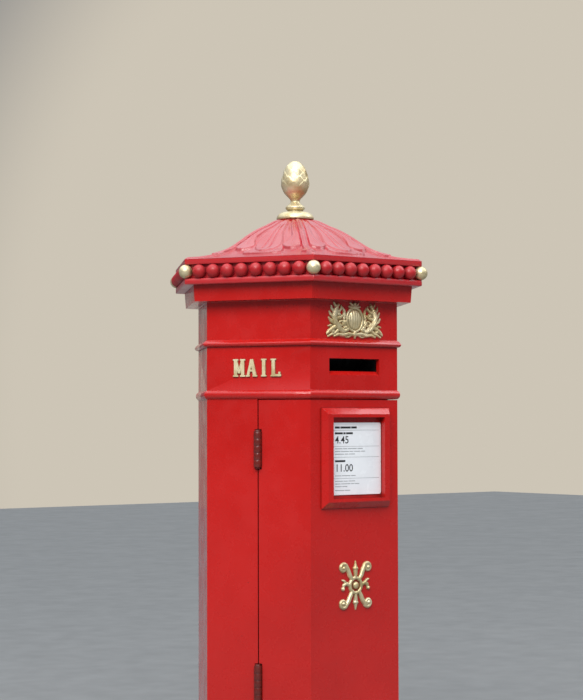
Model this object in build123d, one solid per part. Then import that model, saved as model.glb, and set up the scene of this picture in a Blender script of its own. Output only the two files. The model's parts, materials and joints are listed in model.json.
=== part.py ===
from build123d import *
from math import cos, radians, sin, sqrt, tan
import os

# Hexagonal cast-iron post box, in millimetres.
# The origin is the centre of the base, +Z is up, and the posting slot looks along -Y.
# A face is named by the angle of its outward normal from -Y, anticlockwise from above.
# On a face, t runs to the right as seen from outside, n runs outward from the axis, z runs up.

os.makedirs("parts", exist_ok=True)

# ---------------------------------------------------------------- driving dimensions
ACROSS_FLATS = 508.0
WALL = 12.0
PLINTH_HEIGHT = 140.0
DOOR_BOTTOM = 190.0
HEAD_BOTTOM = 1025.0
HEAD_HEIGHT = 300.0

SLOT_FACE = 0
HINGE_FACE = -60
LOCK_FACE = 60
ALL_FACES = (0, 60, 120, 180, 240, 300)
CORNERS = (30, 90, 150, 210, 270, 330)

# castings
PLINTH_PROUD = 28.0
PLINTH_STRAIGHT = 108.0
PLINTH_LEDGE = 10.0
BASE_FLANGE_WIDTH = 82.0
FLANGE = 12.0
BASE_FLANGE_THICK = 14.0
LOWER_RING_WIDTH = 37.0
JOINT_RING_WIDTH = 66.0
BASE_BEAD_HEIGHT = 18.0
BASE_BEAD_PROUD = 7.0
MOULDING_PROUD = 7.0
MOULDING_HEIGHT = 23.0
UPPER_MOULDING_UP = 138.0
UPPER_MOULDING_PROUD = 10.0
UPPER_MOULDING_HEIGHT = 18.0
CORNICE_HEIGHT = 43.3
CORNICE_PROUD = 33.8
CORNICE_BATTER = 3.2
CORNER_RADIUS = 2.5

# posting slot
SLOT_WIDTH = 168.0
SLOT_SILL_UP = 62.5
SLOT_OPENING = 43.0
SLOT_SILL_RISE = 11.0

# roof
EAVE_PROUD = 61.0
PLATE_THICK = 15.0
BEAD_GAP = 37.0
BEAD_WALL_SET_BACK = 13.0
BEAD_WALL_THICK = 10.0
TOP_PLATE_THICK = 14.0
ROOF_RISE = 119.0
ROOF_THICK = 10.0
HIP_RIB_RISE = 6.5
HIP_RIB_WIDTH = 12.0
CROWN_RADIUS = 54.0
CROWN_RISE = 125.0
BEAD_RADIUS = 18.2
BEADS_PER_SIDE = 8
CORNER_BALL_RADIUS = 18.3
BEAD_SET_IN = 3.0

# finial
FINIAL_HEIGHT = 162.0
FINIAL_FLANGE_RADIUS = 51.0
FINIAL_NECK_RADIUS = 12.5
FINIAL_RING_RADIUS = 26.5
FINIAL_BUD_RADIUS = 38.0
FINIAL_STUD_RADIUS = 8.0

# door and its frame
SEAM_GAP = 3.0
DOOR_HEAD_GAP = 2.0
DOOR_FLANGE_DEPTH = 28.0
JAMB_THICK = 12.0
LIP_GAP = 2.0
LIP_THICK = 12.0
LIP_REACH = 10.0
LINTEL_DEPTH = 32.0

# hinges
HINGE_HEIGHTS = (290.0, 895.0)
HINGE_LENGTH = 92.0
HINGE_AXIS_PROUD = 4.0
KNUCKLE_RADIUS = 10.0
KNUCKLES = 5
KNUCKLE_GAP = 0.4
HINGE_PIN_RADIUS = 5.0
LEAF_THICK = 3.0
LEAF_DEPTH = 27.0
PIN_HEAD_RADIUS = 7.5
PIN_HEAD_HEIGHT = 4.0

# lock
LOCK_HEIGHT = 675.0
LOCK_BACK = 40.0
BOLT_THROW = 14.0
BOLT_HALF_HEIGHT = 12.0
BOLT_THICK = 8.0
BOLT_LENGTH = 58.0
CASE_HALF_HEIGHT = 35.0
CASE_LENGTH = 61.0
CASE_DEPTH = 28.0
CASE_WALL = 2.5
KEY_BARREL_RADIUS = 8.0
CURTAIN_RADIUS = 14.0
PEG_RADIUS = 2.5
PEG_CLEARANCE = 0.8
ESCUTCHEON_HEIGHT = 12.0
COVER_PIVOT_UP = 20.0
COVER_THICK = 3.0

# notice frame, measured down from the bottom of the head casting
NOTICE_TOP_DROP = 23.5
NOTICE_WIDTH = 226.0
NOTICE_HEIGHT = 259.5
NOTICE_PROUD = 20.0
NOTICE_SIDE_BEVEL = 10.0
NOTICE_END_BEVEL = 16.0
NOTICE_OPENING_WIDTH = 172.0
NOTICE_OPENING_HEIGHT = 211.0
NOTICE_PLATE_WIDTH = 169.0
NOTICE_PLATE_HEIGHT = 187.5
NOTICE_PLATE_LOW = 2.0
NOTICE_PLATE_THICK = 3.0
NOTICE_BACKING_THICK = 2.0

# ornaments
CREST_WIDTH = 190.0
CREST_HEIGHT = 97.0
CREST_PROUD = 9.0
SCROLL_WIDTH = 116.0
SCROLL_HEIGHT = 134.0
SCROLL_DROP = 418.0
SCROLL_PROUD = 9.0
LETTER_HEIGHT = 46.0
LETTER_WIDTH = 27.0
LETTER_STROKE = 9.0
LETTER_PITCH = 35.0
LETTER_PROUD = 4.0
LETTER_UP = 58.5

# inside
FLOOR_UP = 24.0
FLOOR_THICK = 6.0
GUARD_SET_BACK = 7.0
GUARD_BOTTOM_GAP = 50.0
GUARD_TOP_GAP = 63.0
GUARD_POST_RADIUS = 4.0
GUARD_WIRE_RADIUS = 2.5
GUARD_END = 16.0
GUARD_HOOPS = 7
GUARD_PITCH = 30.0
CHUTE_WIDTH = 200.0
CHUTE_SHEET = 3.0
CHUTE_THROAT = 58.0

# fasteners and fits
BOLT_RADIUS = 6.0
BOLT_HOLE_RADIUS = 6.6
HEX_APOTHEM = 9.5
HEX_HEIGHT = 8.0
NUT_HEIGHT = 10.0
ANCHOR_HOLE_RADIUS = 8.0
ANCHOR_SET_IN = 47.0
SCREW_RADIUS = 2.4
SCREW_HEAD_RADIUS = 4.0
SCREW_CLEARANCE = 0.1
RUNNING = 0.05
SLIDING = 0.3

# ---------------------------------------------------------------- worked out from them
APOTHEM = ACROSS_FLATS / 2
INNER = APOTHEM - WALL
SCREW_HOLE_RADIUS = SCREW_RADIUS + SCREW_CLEARANCE
SHARE = cos(radians(30))
HEAD_TOP = HEAD_BOTTOM + HEAD_HEIGHT
EAVE = APOTHEM + EAVE_PROUD
EAVE_BOTTOM = HEAD_TOP
BEAD_WALL = EAVE - BEAD_WALL_SET_BACK
BEAD_FLOOR = EAVE_BOTTOM + PLATE_THICK
ROOF_BASE = BEAD_FLOOR + BEAD_GAP
ROOF_EDGE = ROOF_BASE + TOP_PLATE_THICK
CROWN_TOP = ROOF_EDGE + CROWN_RISE
SEAM = SEAM_GAP / 2
DOOR_TOP = HEAD_BOTTOM - DOOR_HEAD_GAP
DOOR_FLANGE_BACK = APOTHEM - DOOR_FLANGE_DEPTH
LIP_FRONT = DOOR_FLANGE_BACK - LIP_GAP
LIP_BACK = LIP_FRONT - LIP_THICK
GUARD_APOTHEM = LIP_BACK - GUARD_SET_BACK
GUARD_BOTTOM = DOOR_BOTTOM + GUARD_BOTTOM_GAP
GUARD_TOP = DOOR_TOP - GUARD_TOP_GAP
RING_INNER = INNER - JOINT_RING_WIDTH
LOWER_RING_INNER = INNER - LOWER_RING_WIDTH
PLINTH_OUT = APOTHEM + PLINTH_PROUD
HINGE_AXIS = APOTHEM + HINGE_AXIS_PROUD
JOINT_BOLT_CIRCLE = RING_INNER + 18.0
BASE_BOLT_CIRCLE = LOWER_RING_INNER + 20.0
CAP_BOLT_CIRCLE = APOTHEM - 10.0
ANCHOR_CIRCLE = PLINTH_OUT - ANCHOR_SET_IN
FAR = 1500.0
CREST_BOTTOM = HEAD_BOTTOM + UPPER_MOULDING_UP + UPPER_MOULDING_HEIGHT + 1.0


# ---------------------------------------------------------------- helpers
def normal(angle):
    return Vector(sin(radians(angle)), -cos(radians(angle)), 0)


def along(angle):
    return Vector(cos(radians(angle)), sin(radians(angle)), 0)


def point(angle, t, n, z):
    return normal(angle) * n + along(angle) * t + Vector(0, 0, z)


def face_plane(angle, t, n, z):
    """A plane on a face: its x runs along t, its y up and its z outward."""
    return Plane(origin=point(angle, t, n, z), x_dir=along(angle), z_dir=normal(angle))


def face_box(angle, t, n, z):
    """A box on a face between pairs of t, n and z."""
    middle = face_plane(angle, sum(t) / 2, sum(n) / 2, sum(z) / 2)
    return middle * Box(abs(t[1] - t[0]), abs(z[1] - z[0]), abs(n[1] - n[0]))


def rod(start, end, radius):
    """A round bar between two points."""
    line = Vector(end) - Vector(start)
    place = Plane(origin=Vector(start), z_dir=line)
    return place * Cylinder(radius, line.length, align=(Align.CENTER, Align.CENTER, Align.MIN))


def outward_rod(angle, t, z, n, radius):
    return rod(point(angle, t, n[0], z), point(angle, t, n[1], z), radius)


def upright_rod(angle, t, n, z, radius):
    return rod(point(angle, t, n, z[0]), point(angle, t, n, z[1]), radius)


def sideways_rod(angle, t, n, z, radius):
    return rod(point(angle, t[0], n, z), point(angle, t[1], n, z), radius)


def outline(start, *steps):
    """A closed face; a step that is a pair of points is an arc through the first to the second."""
    edges = []
    here = start
    for step in steps:
        if isinstance(step[0], tuple):
            edges.append(ThreePointArc(here, step[0], step[1]))
            here = step[1]
        else:
            edges.append(Line(here, step))
            here = step
    edges.append(Line(here, start))
    return make_face(edges)


def hexagon(apothem, z):
    """A solid hexagonal prism between a pair of heights."""
    shape = RegularPolygon(apothem, 6, major_radius=False)
    return Pos(0, 0, z[0]) * extrude(shape, z[1] - z[0])


def hex_tube(inner, outer, z):
    return hexagon(outer, z) - hexagon(inner, z)


def hex_ring(section):
    """A section drawn as (apothem, height), run round the six sides and mitred at the corners."""
    reach = FAR * tan(radians(30))
    wedge = extrude(make_face(Polyline((0, 0), (reach, -FAR), (-reach, -FAR), close=True)), 2 * FAR)
    upright = Plane(origin=(0, 0, 0), x_dir=(0, -1, 0), z_dir=(-1, 0, 0))
    side = extrude(upright * section, FAR, both=True) & wedge
    return Part() + [Rot(0, 0, turn) * side for turn in ALL_FACES]


def door_sector(inset, z):
    """The part of space in front of the two seam planes, each moved towards the slot by inset."""
    near = RING_INNER / 2
    left = [point(HINGE_FACE, inset, n, 0) for n in (near, FAR)]
    right = [point(LOCK_FACE, -inset, n, 0) for n in (FAR, near)]
    corners = [left[0], left[1], Vector(0, -2 * FAR, 0), right[0], right[1]]
    shape = make_face(Polyline(*[(c.X, c.Y) for c in corners], close=True))
    return Pos(0, 0, z[0]) * extrude(shape, z[1] - z[0])


def hex_bolt(x, y, under_head, length):
    """A hexagon-headed bolt standing on under_head, its shank running away from the head."""
    head = extrude(RegularPolygon(HEX_APOTHEM, 6, major_radius=False), HEX_HEIGHT)
    shank = extrude(Circle(BOLT_RADIUS), -length)
    return Pos(x, y, under_head) * (head + shank)


def nut(x, y, z):
    """A hexagon nut whose lower face is at z."""
    shape = RegularPolygon(HEX_APOTHEM, 6, major_radius=False) - Circle(BOLT_RADIUS + RUNNING)
    return Pos(x, y, z) * extrude(shape, NUT_HEIGHT)


def screw(start, direction, length, head_height):
    """A flat-headed screw: its head sits on start and its shank runs along direction."""
    way = Vector(direction).normalized()
    shank = rod(start, Vector(start) + way * length, SCREW_RADIUS)
    return shank + rod(Vector(start) - way * head_height, start, SCREW_HEAD_RADIUS)


def mid_faces(circle):
    """The six points in the middle of the faces, at a distance from the axis."""
    return [point(angle, 0, circle, 0) for angle in ALL_FACES]


def write(name, shape):
    """Write a node; a group of separate solids stays a group."""
    solids = shape.solids()
    node = solids[0] if len(solids) == 1 else Compound(children=solids)
    node.label = name
    export_step(node, f"parts/{name}.step")


# ---------------------------------------------------------------- plinth
def plinth_base():
    out = PLINTH_OUT
    top = APOTHEM + PLINTH_LEDGE
    section = outline(
        (out, 0),
        (out, PLINTH_STRAIGHT),
        ((out - 5, PLINTH_STRAIGHT + 17), (top, PLINTH_HEIGHT)),
        (LOWER_RING_INNER, PLINTH_HEIGHT),
        (LOWER_RING_INNER, PLINTH_HEIGHT - FLANGE),
        (out - 3 * WALL + 2, PLINTH_HEIGHT - FLANGE),
        (out - WALL, PLINTH_STRAIGHT - WALL),
        (out - WALL, BASE_FLANGE_THICK),
        (out - BASE_FLANGE_WIDTH, BASE_FLANGE_THICK),
        (out - BASE_FLANGE_WIDTH, 0),
    )
    base = hex_ring(section)
    for p in mid_faces(ANCHOR_CIRCLE):
        base -= Pos(p.X, p.Y, 0) * Cylinder(ANCHOR_HOLE_RADIUS, 4 * BASE_FLANGE_THICK)
    for p in mid_faces(BASE_BOLT_CIRCLE):
        base -= Pos(p.X, p.Y, PLINTH_HEIGHT) * Cylinder(BOLT_HOLE_RADIUS, 4 * FLANGE)
    return base


# ---------------------------------------------------------------- shaft casting
def shaft_casting():
    bead_top = PLINTH_HEIGHT + BASE_BEAD_HEIGHT
    section = outline(
        (LOWER_RING_INNER, PLINTH_HEIGHT),
        (APOTHEM, PLINTH_HEIGHT),
        ((APOTHEM + BASE_BEAD_PROUD, PLINTH_HEIGHT + BASE_BEAD_HEIGHT / 2), (APOTHEM, bead_top)),
        (APOTHEM, HEAD_BOTTOM),
        (RING_INNER, HEAD_BOTTOM),
        (RING_INNER, HEAD_BOTTOM - FLANGE),
        (INNER, HEAD_BOTTOM - FLANGE),
        (INNER, PLINTH_HEIGHT + FLANGE),
        (LOWER_RING_INNER, PLINTH_HEIGHT + FLANGE),
    )
    sill_top = DOOR_BOTTOM - DOOR_HEAD_GAP
    sill_bottom = sill_top - FLANGE
    door_zone = (sill_top, HEAD_BOTTOM + 1)
    shaft = hex_ring(section)
    cut = hex_tube(LIP_FRONT, APOTHEM + 2, door_zone) & door_sector(-SEAM, door_zone)
    shaft -= cut
    jamb_zone = (sill_bottom, HEAD_BOTTOM)
    behind_jamb = door_sector(-SEAM - JAMB_THICK, jamb_zone)
    frame = hex_tube(LIP_BACK, INNER + 1, jamb_zone) & (behind_jamb - door_sector(-SEAM, jamb_zone))
    lip = hex_tube(LIP_BACK, LIP_FRONT, jamb_zone) & (behind_jamb - door_sector(LIP_REACH, jamb_zone))
    sill_zone = (sill_bottom, sill_top)
    sill = hex_tube(LIP_BACK, INNER + 1, sill_zone) & door_sector(-SEAM - JAMB_THICK, sill_zone)
    sill_lip_zone = (sill_bottom, sill_top + FLANGE + LIP_REACH)
    sill_lip = hex_tube(LIP_BACK, LIP_FRONT, sill_lip_zone) & door_sector(0, sill_lip_zone)
    lintel_zone = (HEAD_BOTTOM - LINTEL_DEPTH, HEAD_BOTTOM)
    lintel = hex_tube(LIP_BACK, LIP_FRONT, lintel_zone) & door_sector(0, lintel_zone)
    shaft = shaft + frame + lip + sill + sill_lip + lintel
    for angle in CORNERS:
        lug_top = PLINTH_HEIGHT + FLOOR_UP
        shaft += face_box(angle, (-18, 18), (INNER - 4, INNER + 20), (PLINTH_HEIGHT + FLANGE, lug_top))
    for p in mid_faces(BASE_BOLT_CIRCLE):
        shaft -= Pos(p.X, p.Y, PLINTH_HEIGHT) * Cylinder(BOLT_HOLE_RADIUS, 4 * FLANGE)
    for p in mid_faces(JOINT_BOLT_CIRCLE):
        shaft -= Pos(p.X, p.Y, HEAD_BOTTOM) * Cylinder(BOLT_HOLE_RADIUS, 4 * FLANGE)
    for height in HINGE_HEIGHTS:
        shaft -= hinge_recess(height)
        shaft -= leaf_pocket(height, -1)
        shaft -= hinge_screw_holes(height, -1)
    shaft -= bolt_passage((SEAM, SEAM + JAMB_THICK + 1))
    shaft -= keep_pocket()
    shaft -= keep_screw_holes()
    shaft -= guard_bracket_holes()
    return shaft


# ---------------------------------------------------------------- head casting
def head_section():
    moulding_middle = HEAD_BOTTOM + MOULDING_HEIGHT / 2
    upper = HEAD_BOTTOM + UPPER_MOULDING_UP
    upper_top = upper + UPPER_MOULDING_HEIGHT
    nose = upper + UPPER_MOULDING_HEIGHT * 0.4
    soffit = HEAD_TOP - CORNICE_HEIGHT
    fascia_low = APOTHEM + CORNICE_PROUD
    fascia_high = fascia_low + CORNICE_BATTER
    cove = 2.0
    return outline(
        (RING_INNER, HEAD_BOTTOM),
        (APOTHEM, HEAD_BOTTOM),
        ((APOTHEM + MOULDING_PROUD, moulding_middle), (APOTHEM, HEAD_BOTTOM + MOULDING_HEIGHT)),
        (APOTHEM, upper),
        ((APOTHEM + UPPER_MOULDING_PROUD - 2, upper + 2), (APOTHEM + UPPER_MOULDING_PROUD, nose)),
        ((APOTHEM + UPPER_MOULDING_PROUD - 4, nose + 6), (APOTHEM, upper_top)),
        (APOTHEM, soffit - cove),
        ((APOTHEM + cove / 3, soffit - cove / 3), (APOTHEM + cove, soffit)),
        (fascia_low, soffit),
        (fascia_high, HEAD_TOP),
        (fascia_high - WALL, HEAD_TOP),
        (fascia_low - WALL, soffit + WALL),
        (INNER, soffit + WALL),
        (INNER, HEAD_BOTTOM + FLANGE),
        (RING_INNER, HEAD_BOTTOM + FLANGE),
    )


def head_casting():
    head = hex_ring(head_section())
    lug_back = CAP_BOLT_CIRCLE - 20
    lug_front = APOTHEM + CORNICE_PROUD - WALL + 1
    shelf = HEAD_TOP - CORNICE_HEIGHT + WALL
    for angle in ALL_FACES:
        head += face_box(angle, (-25, 25), (lug_back, lug_front), (HEAD_TOP - FLANGE, HEAD_TOP))
        for side in (-1, 1):
            web = (shelf - 1, HEAD_TOP - FLANGE + 1)
            head += face_box(angle, (side * 17, side * 25), (INNER, lug_front), web)
    sill = HEAD_BOTTOM + SLOT_SILL_UP
    slot_top = sill + SLOT_OPENING
    passage = outline(
        (APOTHEM + 1, sill - 1),
        (APOTHEM + 1, slot_top),
        (INNER - 1, slot_top),
        (INNER - 1, sill + SLOT_SILL_RISE),
    )
    upright = Plane(origin=(0, 0, 0), x_dir=(0, -1, 0), z_dir=(-1, 0, 0))
    head -= extrude(upright * passage, SLOT_WIDTH / 2, both=True)
    for p in mid_faces(JOINT_BOLT_CIRCLE):
        head -= Pos(p.X, p.Y, HEAD_BOTTOM) * Cylinder(BOLT_HOLE_RADIUS, 4 * FLANGE)
    for p in mid_faces(CAP_BOLT_CIRCLE):
        head -= Pos(p.X, p.Y, HEAD_TOP) * Cylinder(BOLT_HOLE_RADIUS, 4 * FLANGE)
    head -= chute_screw_holes()
    return head


# ---------------------------------------------------------------- roof
def roof_curve(drop):
    """Points of the ogee from the crown to the eave as (apothem, height), lowered by drop."""
    shape = (
        (0.13, 0.985),
        (0.28, 0.845),
        (0.41, 0.645),
        (0.51, 0.44),
        (0.60, 0.27),
        (0.70, 0.155),
        (0.84, 0.055),
    )
    return [(EAVE * a, ROOF_EDGE + ROOF_RISE * h - drop) for a, h in shape]


def roof_cap():
    outer = [*roof_curve(0), (EAVE, ROOF_EDGE)]
    inner = [(EAVE - 4 * BEAD_WALL_THICK, ROOF_BASE), *reversed(roof_curve(ROOF_THICK)[:-2])]
    edges = [
        Spline(*outer),
        Line(outer[-1], (EAVE, ROOF_BASE)),
        Line((EAVE, ROOF_BASE), (BEAD_WALL, ROOF_BASE)),
        Line((BEAD_WALL, ROOF_BASE), (BEAD_WALL, BEAD_FLOOR)),
        Line((BEAD_WALL, BEAD_FLOOR), (EAVE, BEAD_FLOOR)),
        Line((EAVE, BEAD_FLOOR), (EAVE, EAVE_BOTTOM)),
        Line((EAVE, EAVE_BOTTOM), (CAP_BOLT_CIRCLE - 12, EAVE_BOTTOM)),
        Line((CAP_BOLT_CIRCLE - 12, EAVE_BOTTOM), (CAP_BOLT_CIRCLE - 12, BEAD_FLOOR)),
        Line((CAP_BOLT_CIRCLE - 12, BEAD_FLOOR), (BEAD_WALL - BEAD_WALL_THICK, BEAD_FLOOR)),
        Line((BEAD_WALL - BEAD_WALL_THICK, BEAD_FLOOR), (BEAD_WALL - BEAD_WALL_THICK, ROOF_BASE)),
        Line((BEAD_WALL - BEAD_WALL_THICK, ROOF_BASE), inner[0]),
        Spline(*inner),
        Line(inner[-1], outer[0]),
    ]
    cap = hex_ring(make_face(edges))
    crown_low = roof_curve(ROOF_THICK)[0][1] - 6
    cap += Pos(0, 0, crown_low) * extrude(Circle(CROWN_RADIUS), CROWN_TOP - crown_low)
    for angle in CORNERS:
        cap += hip_rib(angle)
    cap -= Pos(0, 0, CROWN_TOP) * Cylinder(FINIAL_STUD_RADIUS + SLIDING, 8 * ROOF_THICK)
    for p in mid_faces(CAP_BOLT_CIRCLE):
        cap -= Pos(p.X, p.Y, EAVE_BOTTOM) * Cylinder(BOLT_HOLE_RADIUS, 4 * PLATE_THICK)
    return cap


def hip_rib(angle):
    """A raised rib along one hip, from the crown to the corner of the eave."""
    top = [(a / SHARE, h + HIP_RIB_RISE) for a, h in roof_curve(0)]
    end = (EAVE / SHARE - HIP_RIB_WIDTH / 2, ROOF_EDGE + HIP_RIB_RISE * 0.6)
    foot = [(a / SHARE, h) for a, h in roof_curve(HIP_RIB_RISE)]
    edges = [
        Spline(*top, end),
        Line(end, (end[0], ROOF_BASE + 1)),
        Line((end[0], ROOF_BASE + 1), (foot[-1][0], ROOF_BASE + 1)),
        Line((foot[-1][0], ROOF_BASE + 1), foot[-1]),
        Spline(*reversed(foot)),
        Line(foot[0], top[0]),
    ]
    hip = Plane(origin=(0, 0, 0), x_dir=normal(angle), z_dir=along(angle) * -1)
    return extrude(hip * make_face(edges), HIP_RIB_WIDTH / 2, both=True)


def rim_beads():
    """Half-buried balls round the eave, each with a flat back on the wall behind it."""
    pitch = 2 * EAVE * tan(radians(30)) / (BEADS_PER_SIDE + 1)
    middle = BEAD_FLOOR + BEAD_GAP / 2
    out = EAVE - BEAD_SET_IN - BEAD_WALL
    rim = sqrt(BEAD_RADIUS**2 - out**2)
    edges = [
        Line((0, 0), (rim, 0)),
        ThreePointArc((rim, 0), (BEAD_RADIUS, out), (0, out + BEAD_RADIUS)),
        Line((0, out + BEAD_RADIUS), (0, 0)),
    ]
    bead = revolve(Plane.XZ * make_face(edges), Axis.Z)
    beads = []
    for angle in ALL_FACES:
        for k in range(BEADS_PER_SIDE):
            t = (k - (BEADS_PER_SIDE - 1) / 2) * pitch
            beads.append((face_plane(angle, t, BEAD_WALL, middle) * bead).solid())
    return Compound(children=beads)


def corner_balls():
    middle = BEAD_FLOOR + BEAD_GAP / 2
    wall = hexagon(BEAD_WALL, (BEAD_FLOOR, ROOF_BASE))
    circle = EAVE / SHARE - BEAD_SET_IN
    balls = []
    for angle in CORNERS:
        ball = Pos(*point(angle, 0, circle, middle)) * Sphere(CORNER_BALL_RADIUS)
        balls.append((ball - wall).solid())
    return Compound(children=balls)


# ---------------------------------------------------------------- finial
def finial_bud():
    neck = FINIAL_NECK_RADIUS
    ring = FINIAL_RING_RADIUS
    bud = FINIAL_BUD_RADIUS
    flange = FINIAL_FLANGE_RADIUS
    edges = [
        Line((0, 0), (flange, 0)),
        Line((flange, 0), (flange, 6)),
        ThreePointArc((flange, 6), (flange - 5, 15), (flange - 15, 21)),
        Line((flange - 15, 21), (neck + 7, 24)),
        ThreePointArc((neck + 7, 24), (ring - 1, 29), (ring, 33.5)),
        ThreePointArc((ring, 33.5), (ring - 4, 39), (neck + 3, 44)),
        ThreePointArc((neck + 3, 44), (neck + 0.5, 48), (neck, 52)),
        Spline(
            (neck, 52),
            (bud * 0.52, 62),
            (bud * 0.79, 73.5),
            (bud, 95),
            (bud * 0.91, 120),
            (bud * 0.59, 149),
            (bud * 0.22, 161),
            (0, FINIAL_HEIGHT),
        ),
        Line((0, FINIAL_HEIGHT), (0, 0)),
    ]
    solid = revolve(Plane.XZ * make_face(edges), Axis.Z)
    solid -= extrude(Circle(FINIAL_STUD_RADIUS + SLIDING), 4 * FINIAL_STUD_RADIUS)
    return Pos(0, 0, CROWN_TOP) * solid


def finial_stud_end():
    """Height of the underside of the crown, where the finial's washer seats."""
    return roof_curve(ROOF_THICK)[0][1] - 6


def finial_stud():
    low = finial_stud_end() - 22
    return Pos(0, 0, low) * extrude(Circle(FINIAL_STUD_RADIUS), CROWN_TOP + 4 * FINIAL_STUD_RADIUS - low)


def finial_washer():
    ring = Circle(3 * FINIAL_STUD_RADIUS) - Circle(FINIAL_STUD_RADIUS + SLIDING)
    return Pos(0, 0, finial_stud_end() - 3) * extrude(ring, 3)


def finial_nut():
    hole = Circle(FINIAL_STUD_RADIUS + RUNNING)
    shape = RegularPolygon(FINIAL_STUD_RADIUS + 4, 6, major_radius=False) - hole
    return Pos(0, 0, finial_stud_end() - 3 - 13) * extrude(shape, 13)


# ---------------------------------------------------------------- door
def door_panel():
    zone = (DOOR_BOTTOM, DOOR_TOP)
    whole = door_sector(SEAM, zone)
    middle = door_sector(SEAM + JAMB_THICK, zone)
    plate = hex_tube(INNER, APOTHEM, zone) & whole
    edge = hex_tube(DOOR_FLANGE_BACK, INNER + 1, zone)
    sides = edge & (whole - middle)
    inside = hexagon(APOTHEM, (DOOR_BOTTOM + FLANGE, DOOR_TOP - FLANGE))
    ends = (edge & whole) - inside
    door = plate + sides + ends
    for height in HINGE_HEIGHTS:
        door -= hinge_recess(height)
        door -= leaf_pocket(height, 1)
        door -= hinge_screw_holes(height, 1)
    door -= bolt_passage((-SEAM - JAMB_THICK - 1, -SEAM + 1))
    through = (INNER - 1, APOTHEM + 1)
    door -= outward_rod(LOCK_FACE, -LOCK_BACK, LOCK_HEIGHT, through, KEY_BARREL_RADIUS + RUNNING)
    for t, z in case_screw_places():
        door -= outward_rod(LOCK_FACE, t, z, (INNER - 1, INNER + 8.5), SCREW_HOLE_RADIUS)
    for t, z in notice_screw_places():
        door -= outward_rod(SLOT_FACE, t, z, (INNER - 1, APOTHEM + 1), SCREW_HOLE_RADIUS)
    for t, z in escutcheon_screw_places():
        door -= outward_rod(LOCK_FACE, t, z, (APOTHEM - 8.5, APOTHEM + 1), SCREW_HOLE_RADIUS)
    return door


# ---------------------------------------------------------------- hinges
def hinge_recess(height):
    """Room for the barrel and the pin heads in the corners either side of the seam."""
    half = HINGE_LENGTH / 2 + PIN_HEAD_HEIGHT + 2
    return upright_rod(HINGE_FACE, 0, HINGE_AXIS, (height - half, height + half), KNUCKLE_RADIUS + 1)


def leaf_box(height, side, grow):
    inner_edge = HINGE_AXIS - KNUCKLE_RADIUS + 3 - LEAF_DEPTH
    t = (side * SEAM, side * (SEAM + LEAF_THICK))
    n = (inner_edge - grow, HINGE_AXIS - KNUCKLE_RADIUS + 3)
    half = HINGE_LENGTH / 2 + grow
    return face_box(HINGE_FACE, t, n, (height - half, height + half))


def leaf_pocket(height, side):
    """A shallow pocket that takes a hinge leaf, flush with the face of the seam."""
    return leaf_box(height, side, SLIDING)


def hinge_screw_points(height, side):
    depth = HINGE_AXIS - KNUCKLE_RADIUS + 3 - LEAF_DEPTH * 0.6
    t = side * (SEAM + LEAF_THICK / 2)
    reach = HINGE_LENGTH * 0.37
    return [point(HINGE_FACE, t, depth, height + lift) for lift in (-reach, 0, reach)]


def hinge_screw_holes(height, side):
    way = along(HINGE_FACE) * side
    points = hinge_screw_points(height, side)
    return Part() + [rod(p, p + way * 9.5, SCREW_HOLE_RADIUS) for p in points]


def hinge_leaf(height, side):
    """One leaf with its share of the knuckles; side is -1 for the shaft and 1 for the door."""
    leaf = leaf_box(height, side, 0)
    low = height - HINGE_LENGTH / 2
    whole = (low - 1, low + HINGE_LENGTH + 1)
    leaf -= upright_rod(HINGE_FACE, 0, HINGE_AXIS, whole, KNUCKLE_RADIUS + 0.5)
    pitch = HINGE_LENGTH / KNUCKLES
    t = (side * SEAM, side * (SEAM + LEAF_THICK))
    n = (HINGE_AXIS - KNUCKLE_RADIUS - 4, HINGE_AXIS - 4)
    first = 0 if side < 0 else 1
    for k in range(first, KNUCKLES, 2):
        foot_gap = KNUCKLE_GAP / 2 if k > 0 else 0
        head_gap = KNUCKLE_GAP / 2 if k < KNUCKLES - 1 else 0
        z = (low + k * pitch + foot_gap, low + (k + 1) * pitch - head_gap)
        leaf += upright_rod(HINGE_FACE, 0, HINGE_AXIS, z, KNUCKLE_RADIUS)
        leaf += face_box(HINGE_FACE, t, n, z)
    leaf -= upright_rod(HINGE_FACE, 0, HINGE_AXIS, whole, HINGE_PIN_RADIUS + RUNNING)
    way = along(HINGE_FACE) * side
    for p in hinge_screw_points(height, side):
        leaf -= rod(p - way * 3, p, SCREW_HEAD_RADIUS + SCREW_CLEARANCE)
        leaf -= rod(p, p + way * 4, SCREW_HOLE_RADIUS)
    return leaf


def hinge_pin(height):
    half = HINGE_LENGTH / 2
    pin = upright_rod(HINGE_FACE, 0, HINGE_AXIS, (height - half, height + half), HINGE_PIN_RADIUS)
    for side in (-1, 1):
        end = height + side * (half + PIN_HEAD_HEIGHT)
        cap = upright_rod(HINGE_FACE, 0, HINGE_AXIS, (height + side * half, end), PIN_HEAD_RADIUS)
        rim = [e for e in cap.edges() if abs(e.center().Z - end) < 0.01]
        pin += fillet(rim, 2)
    return pin


def hinge_screws(side):
    way = along(HINGE_FACE) * side
    shapes = []
    for height in HINGE_HEIGHTS:
        for p in hinge_screw_points(height, side):
            shapes.append(screw(p, way, 9, LEAF_THICK / 2).solid())
    return Compound(children=shapes)


# ---------------------------------------------------------------- lock
def bolt_passage(t):
    """The way through the edge flanges that the lock bolt slides along."""
    half = BOLT_HALF_HEIGHT + SLIDING
    n = (bolt_back() - SLIDING, bolt_back() + BOLT_THICK + SLIDING)
    return face_box(LOCK_FACE, t, n, (LOCK_HEIGHT - half, LOCK_HEIGHT + half))


def bolt_back():
    """Distance from the axis to the inner side of the bolt, which runs behind the door plate."""
    return INNER - 6 - BOLT_THICK


def peg_circle():
    return BOLT_THROW / sqrt(2)


def case_back():
    return INNER - CASE_DEPTH


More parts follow.
